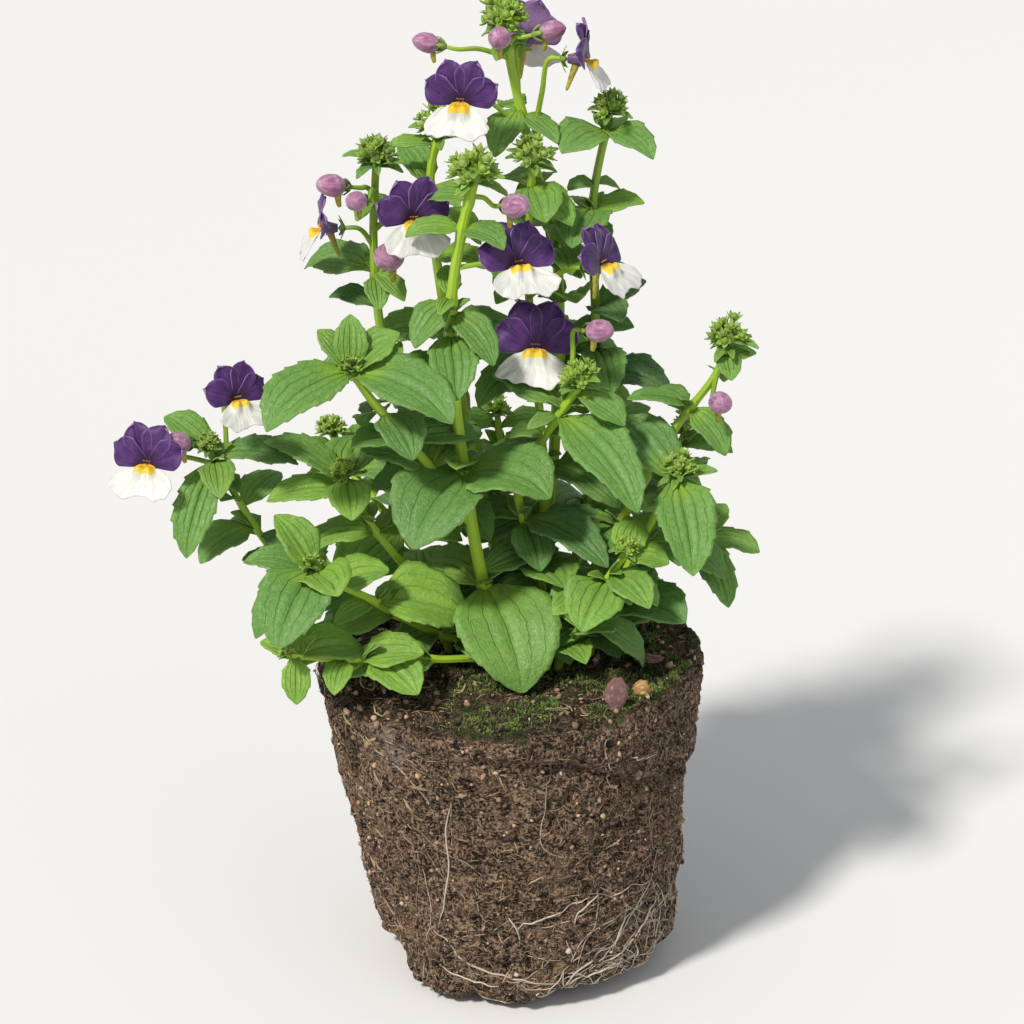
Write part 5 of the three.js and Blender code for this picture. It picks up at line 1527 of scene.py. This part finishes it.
def grow_moss():
    """Small pointed tufts where moss grows."""
    rng = np.random.default_rng(5)
    skin = Skin()
    count = 30000
    places = on_soil(*scatter(rng, count, 47.5), np.full(count, -0.15))
    places = places[moss_share(places) > rng.uniform(0.02, 1, count)][:MOSS_TUFTS]
    faces = np.array([(0, 1, 3), (1, 2, 3), (2, 0, 3), (0, 2, 1)])
    for at in places:
        tip = at + np.array((*rng.normal(0, 0.45, 2), rng.uniform(0.4, 1.5)))
        turn = rng.uniform(0, TURN) + np.arange(3) * TURN / 3
        ring = at + rng.uniform(0.16, 0.36) * around(1, turn)
        skin.add([*ring, tip], [faces], 0, NONE, (rng.uniform(), 0, rng.uniform()))
    skin.piece("root_ball_moss", [moss_skin], "soil")


STRAWS = [
    (-38, -31, 100), (7, -38, 20), (8, -37.5, 32), (9, -38.5, 8), (12, -37, 160), (-42, -18, 100),
]


def grow_straw():
    """Bits of straw on the soil's top, and a few on the rim at the left."""
    rng = np.random.default_rng(8)
    skin = Skin()
    spots = [(rng.uniform(-40, 32), rng.uniform(-30, 32), rng.uniform(0, 180)) for _ in range(14)]
    rows = []
    ends = np.linspace(-1, 1, 9)
    for x, y, turn in STRAWS + spots:
        step = np.linspace(-0.5, 0.5, 9) * rng.uniform(5, 10)
        course = math.radians(turn) + 0.5 * ends * rng.uniform(-1, 1)
        x, y = x - TOP_SHIFT + step * np.cos(course), y + step * np.sin(course)
        walk = kept_on(x, y, 46, 0.4 + 1.0 * ends**2 * rng.uniform(0, 1))
        rows.append((walk, rng.uniform(0.14, 0.3), rng.uniform(0.3, 1)))
    lay(skin, rows, on_soil, 5)
    rows = []
    for _ in range(11):
        start, z = rng.normal(-143, 5), rng.uniform(74, 80)
        walk = wander(rng, start, z, 0.8, 7, rng.uniform(0, 6.3), 0.4, 0.3)
        rows.append((walk, rng.uniform(0.12, 0.24), rng.uniform(0.4, 1)))
    lay(skin, rows, on_wall, 5)
    skin.piece("root_ball_straw", [straw], "soil")


def grow_chip(name, half, turn, look, slot):
    """A broken flake or a rough grain on the soil, where the solid has it."""
    low, high = (np.array(c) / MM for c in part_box(name))
    rows, sides = 31, 44
    tilt, a = net(np.linspace(0.04, math.pi - 0.04, rows), np.arange(sides) * TURN / sides)
    ball = np.stack([np.sin(tilt) * np.cos(a), np.sin(tilt) * np.sin(a), -np.cos(tilt)], -1)
    flake = look is bark
    shape = np.sign(ball) * np.abs(ball) ** (0.7 if flake else 0.95)
    rough = 0.16 * noise(ball, 0.7, 11) + 0.1 * noise(ball, 0.3, 12) + 0.06 * noise(ball, 0.14, 13)
    shape = shape * (1 + rough[..., None] * (1 if flake else 1.5))
    if flake:
        narrow = 1 - 0.5 * ramp(-shape[..., 2], -0.1, 1) - 0.15 * ramp(shape[..., 2], 0.5, 1)
        shape = shape * np.stack([narrow, 0.5 + 0.5 * narrow, np.ones_like(narrow)], -1)
    h = math.radians(turn)
    x, y, z = (shape * np.array(half) * 0.95).transpose(2, 0, 1)
    points = np.stack([x * math.cos(h) - y * math.sin(h), x * math.sin(h) + y * math.cos(h), z], -1)
    points = points + (low + high) / 2 - (0, 0, 0.25)
    poles = [points[0].mean(0), points[-1].mean(0)]
    skin = Skin()
    skin.add(np.concatenate([points.reshape(-1, 3), poles]), closed_rings(rows, sides))
    skin.piece(name + "_rough", [look], slot, name)


STALKS = {name: [] for name in STEMS}
for stem, place, at, heading, rise, _ in BLOOMS.values():
    STALKS[stem].append((place, at, heading, rise, True))
for stem, place, at, heading, _ in BUDS.values():
    STALKS[stem].append((place, at, heading, BUD_RISE, False))

GROWTH = {name: plan_stem(name, stem) for name, stem in STEMS.items()}
CROWD = Crowd()
for name, stem in STEMS.items():
    grow_stem(name, stem)
for name, (_, _, *bloom) in BLOOMS.items():
    grow_bloom(name, *bloom)
for name, (_, _, *bud) in BUDS.items():
    grow_bud(name, *bud)
grow_ball()
grow_roots()
grow_fibres()
grow_crumbs()
grow_moss()
grow_straw()
grow_chip("bark_chip_upright", (3.3, 1.1, 4.6), 20, bark, "bark")
grow_chip("bark_chip_flat", (4.2, 2.4, 0.9), -15, bark, "bark")
grow_chip("fertiliser_granule", (2.3, 2.3, 2), 0, granule, "granule")


# The floor, the light and the camera, in metres and watts.
FLOOR_HALF = 20
SUN, SKY = 3.7, 0.5
LAMP, LAMP_SIZE = 6, 1.6
SENSOR = 36  # millimetres


def place_in_scene(name, data):
    made = bpy.data.objects.new(name, data)
    bpy.context.scene.collection.objects.link(made)
    return made


def make_floor():
    mesh = bpy.data.meshes.new("floor")
    corners = [(x * FLOOR_HALF, y * FLOOR_HALF, 0) for x, y in ((-1, -1), (1, -1), (1, 1), (-1, 1))]
    mesh.from_pydata(corners, [], [(0, 1, 2, 3)])
    floor = place_in_scene("floor", mesh)
    s = Shader("floor")
    s.finish(s.mix(s.noise(900, 2), (0.655, 0.655, 0.65), (0.68, 0.68, 0.68)), 0.9, specular=0.1)
    mesh.materials.append(s.material)
    floor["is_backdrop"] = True


def add_light(name, kind, energy, place, target, colour, **settings):
    """A light that looks from its place at its target."""
    light = bpy.data.lights.new(name, kind)
    light.energy = energy
    light.color = colour
    for key, value in settings.items():
        setattr(light, key, value)
    made = place_in_scene(name, light)
    made.location = place
    x, y, z = np.array(target) - np.array(place)
    made.rotation_euler = (math.atan2(math.hypot(x, y), -z), 0, math.atan2(x, -y) + math.pi)


make_floor()
warm, cool = (1.0, 0.965, 0.90), (0.93, 0.97, 1.0)
add_light("key", "SUN", SUN, (-0.9, -1.1, 1.75), (0, 0, 0.1), warm, angle=0.13)
add_light("fill", "AREA", LAMP, (1.3, -1.5, 1.0), (0, 0, 0.12), cool, size=LAMP_SIZE)
world = bpy.data.worlds.new("studio")
world.use_nodes = True
sky = world.node_tree.nodes["Background"].inputs
sky[0].default_value = (0.95, 0.97, 1.0, 1)
sky[1].default_value = SKY
bpy.context.scene.world = world
bpy.context.scene.view_settings.view_transform = "Standard"

lens = bpy.data.cameras.new("camera")
lens.sensor_width = SENSOR
lens.sensor_fit = "HORIZONTAL"
lens.lens = SENSOR * FOCAL_PIXELS / PICTURE
lens.clip_end = 50
camera = place_in_scene("camera", lens)
camera.location = (CAMERA_RIGHT * MM, -CAMERA_BACK * MM, CAMERA_HEIGHT * MM)
camera.rotation_euler = (math.radians(90 - CAMERA_DOWN), 0, 0)
bpy.context.scene.camera = camera

sizes = [[list(corner) for corner in box] for box in (cad_box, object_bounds())]
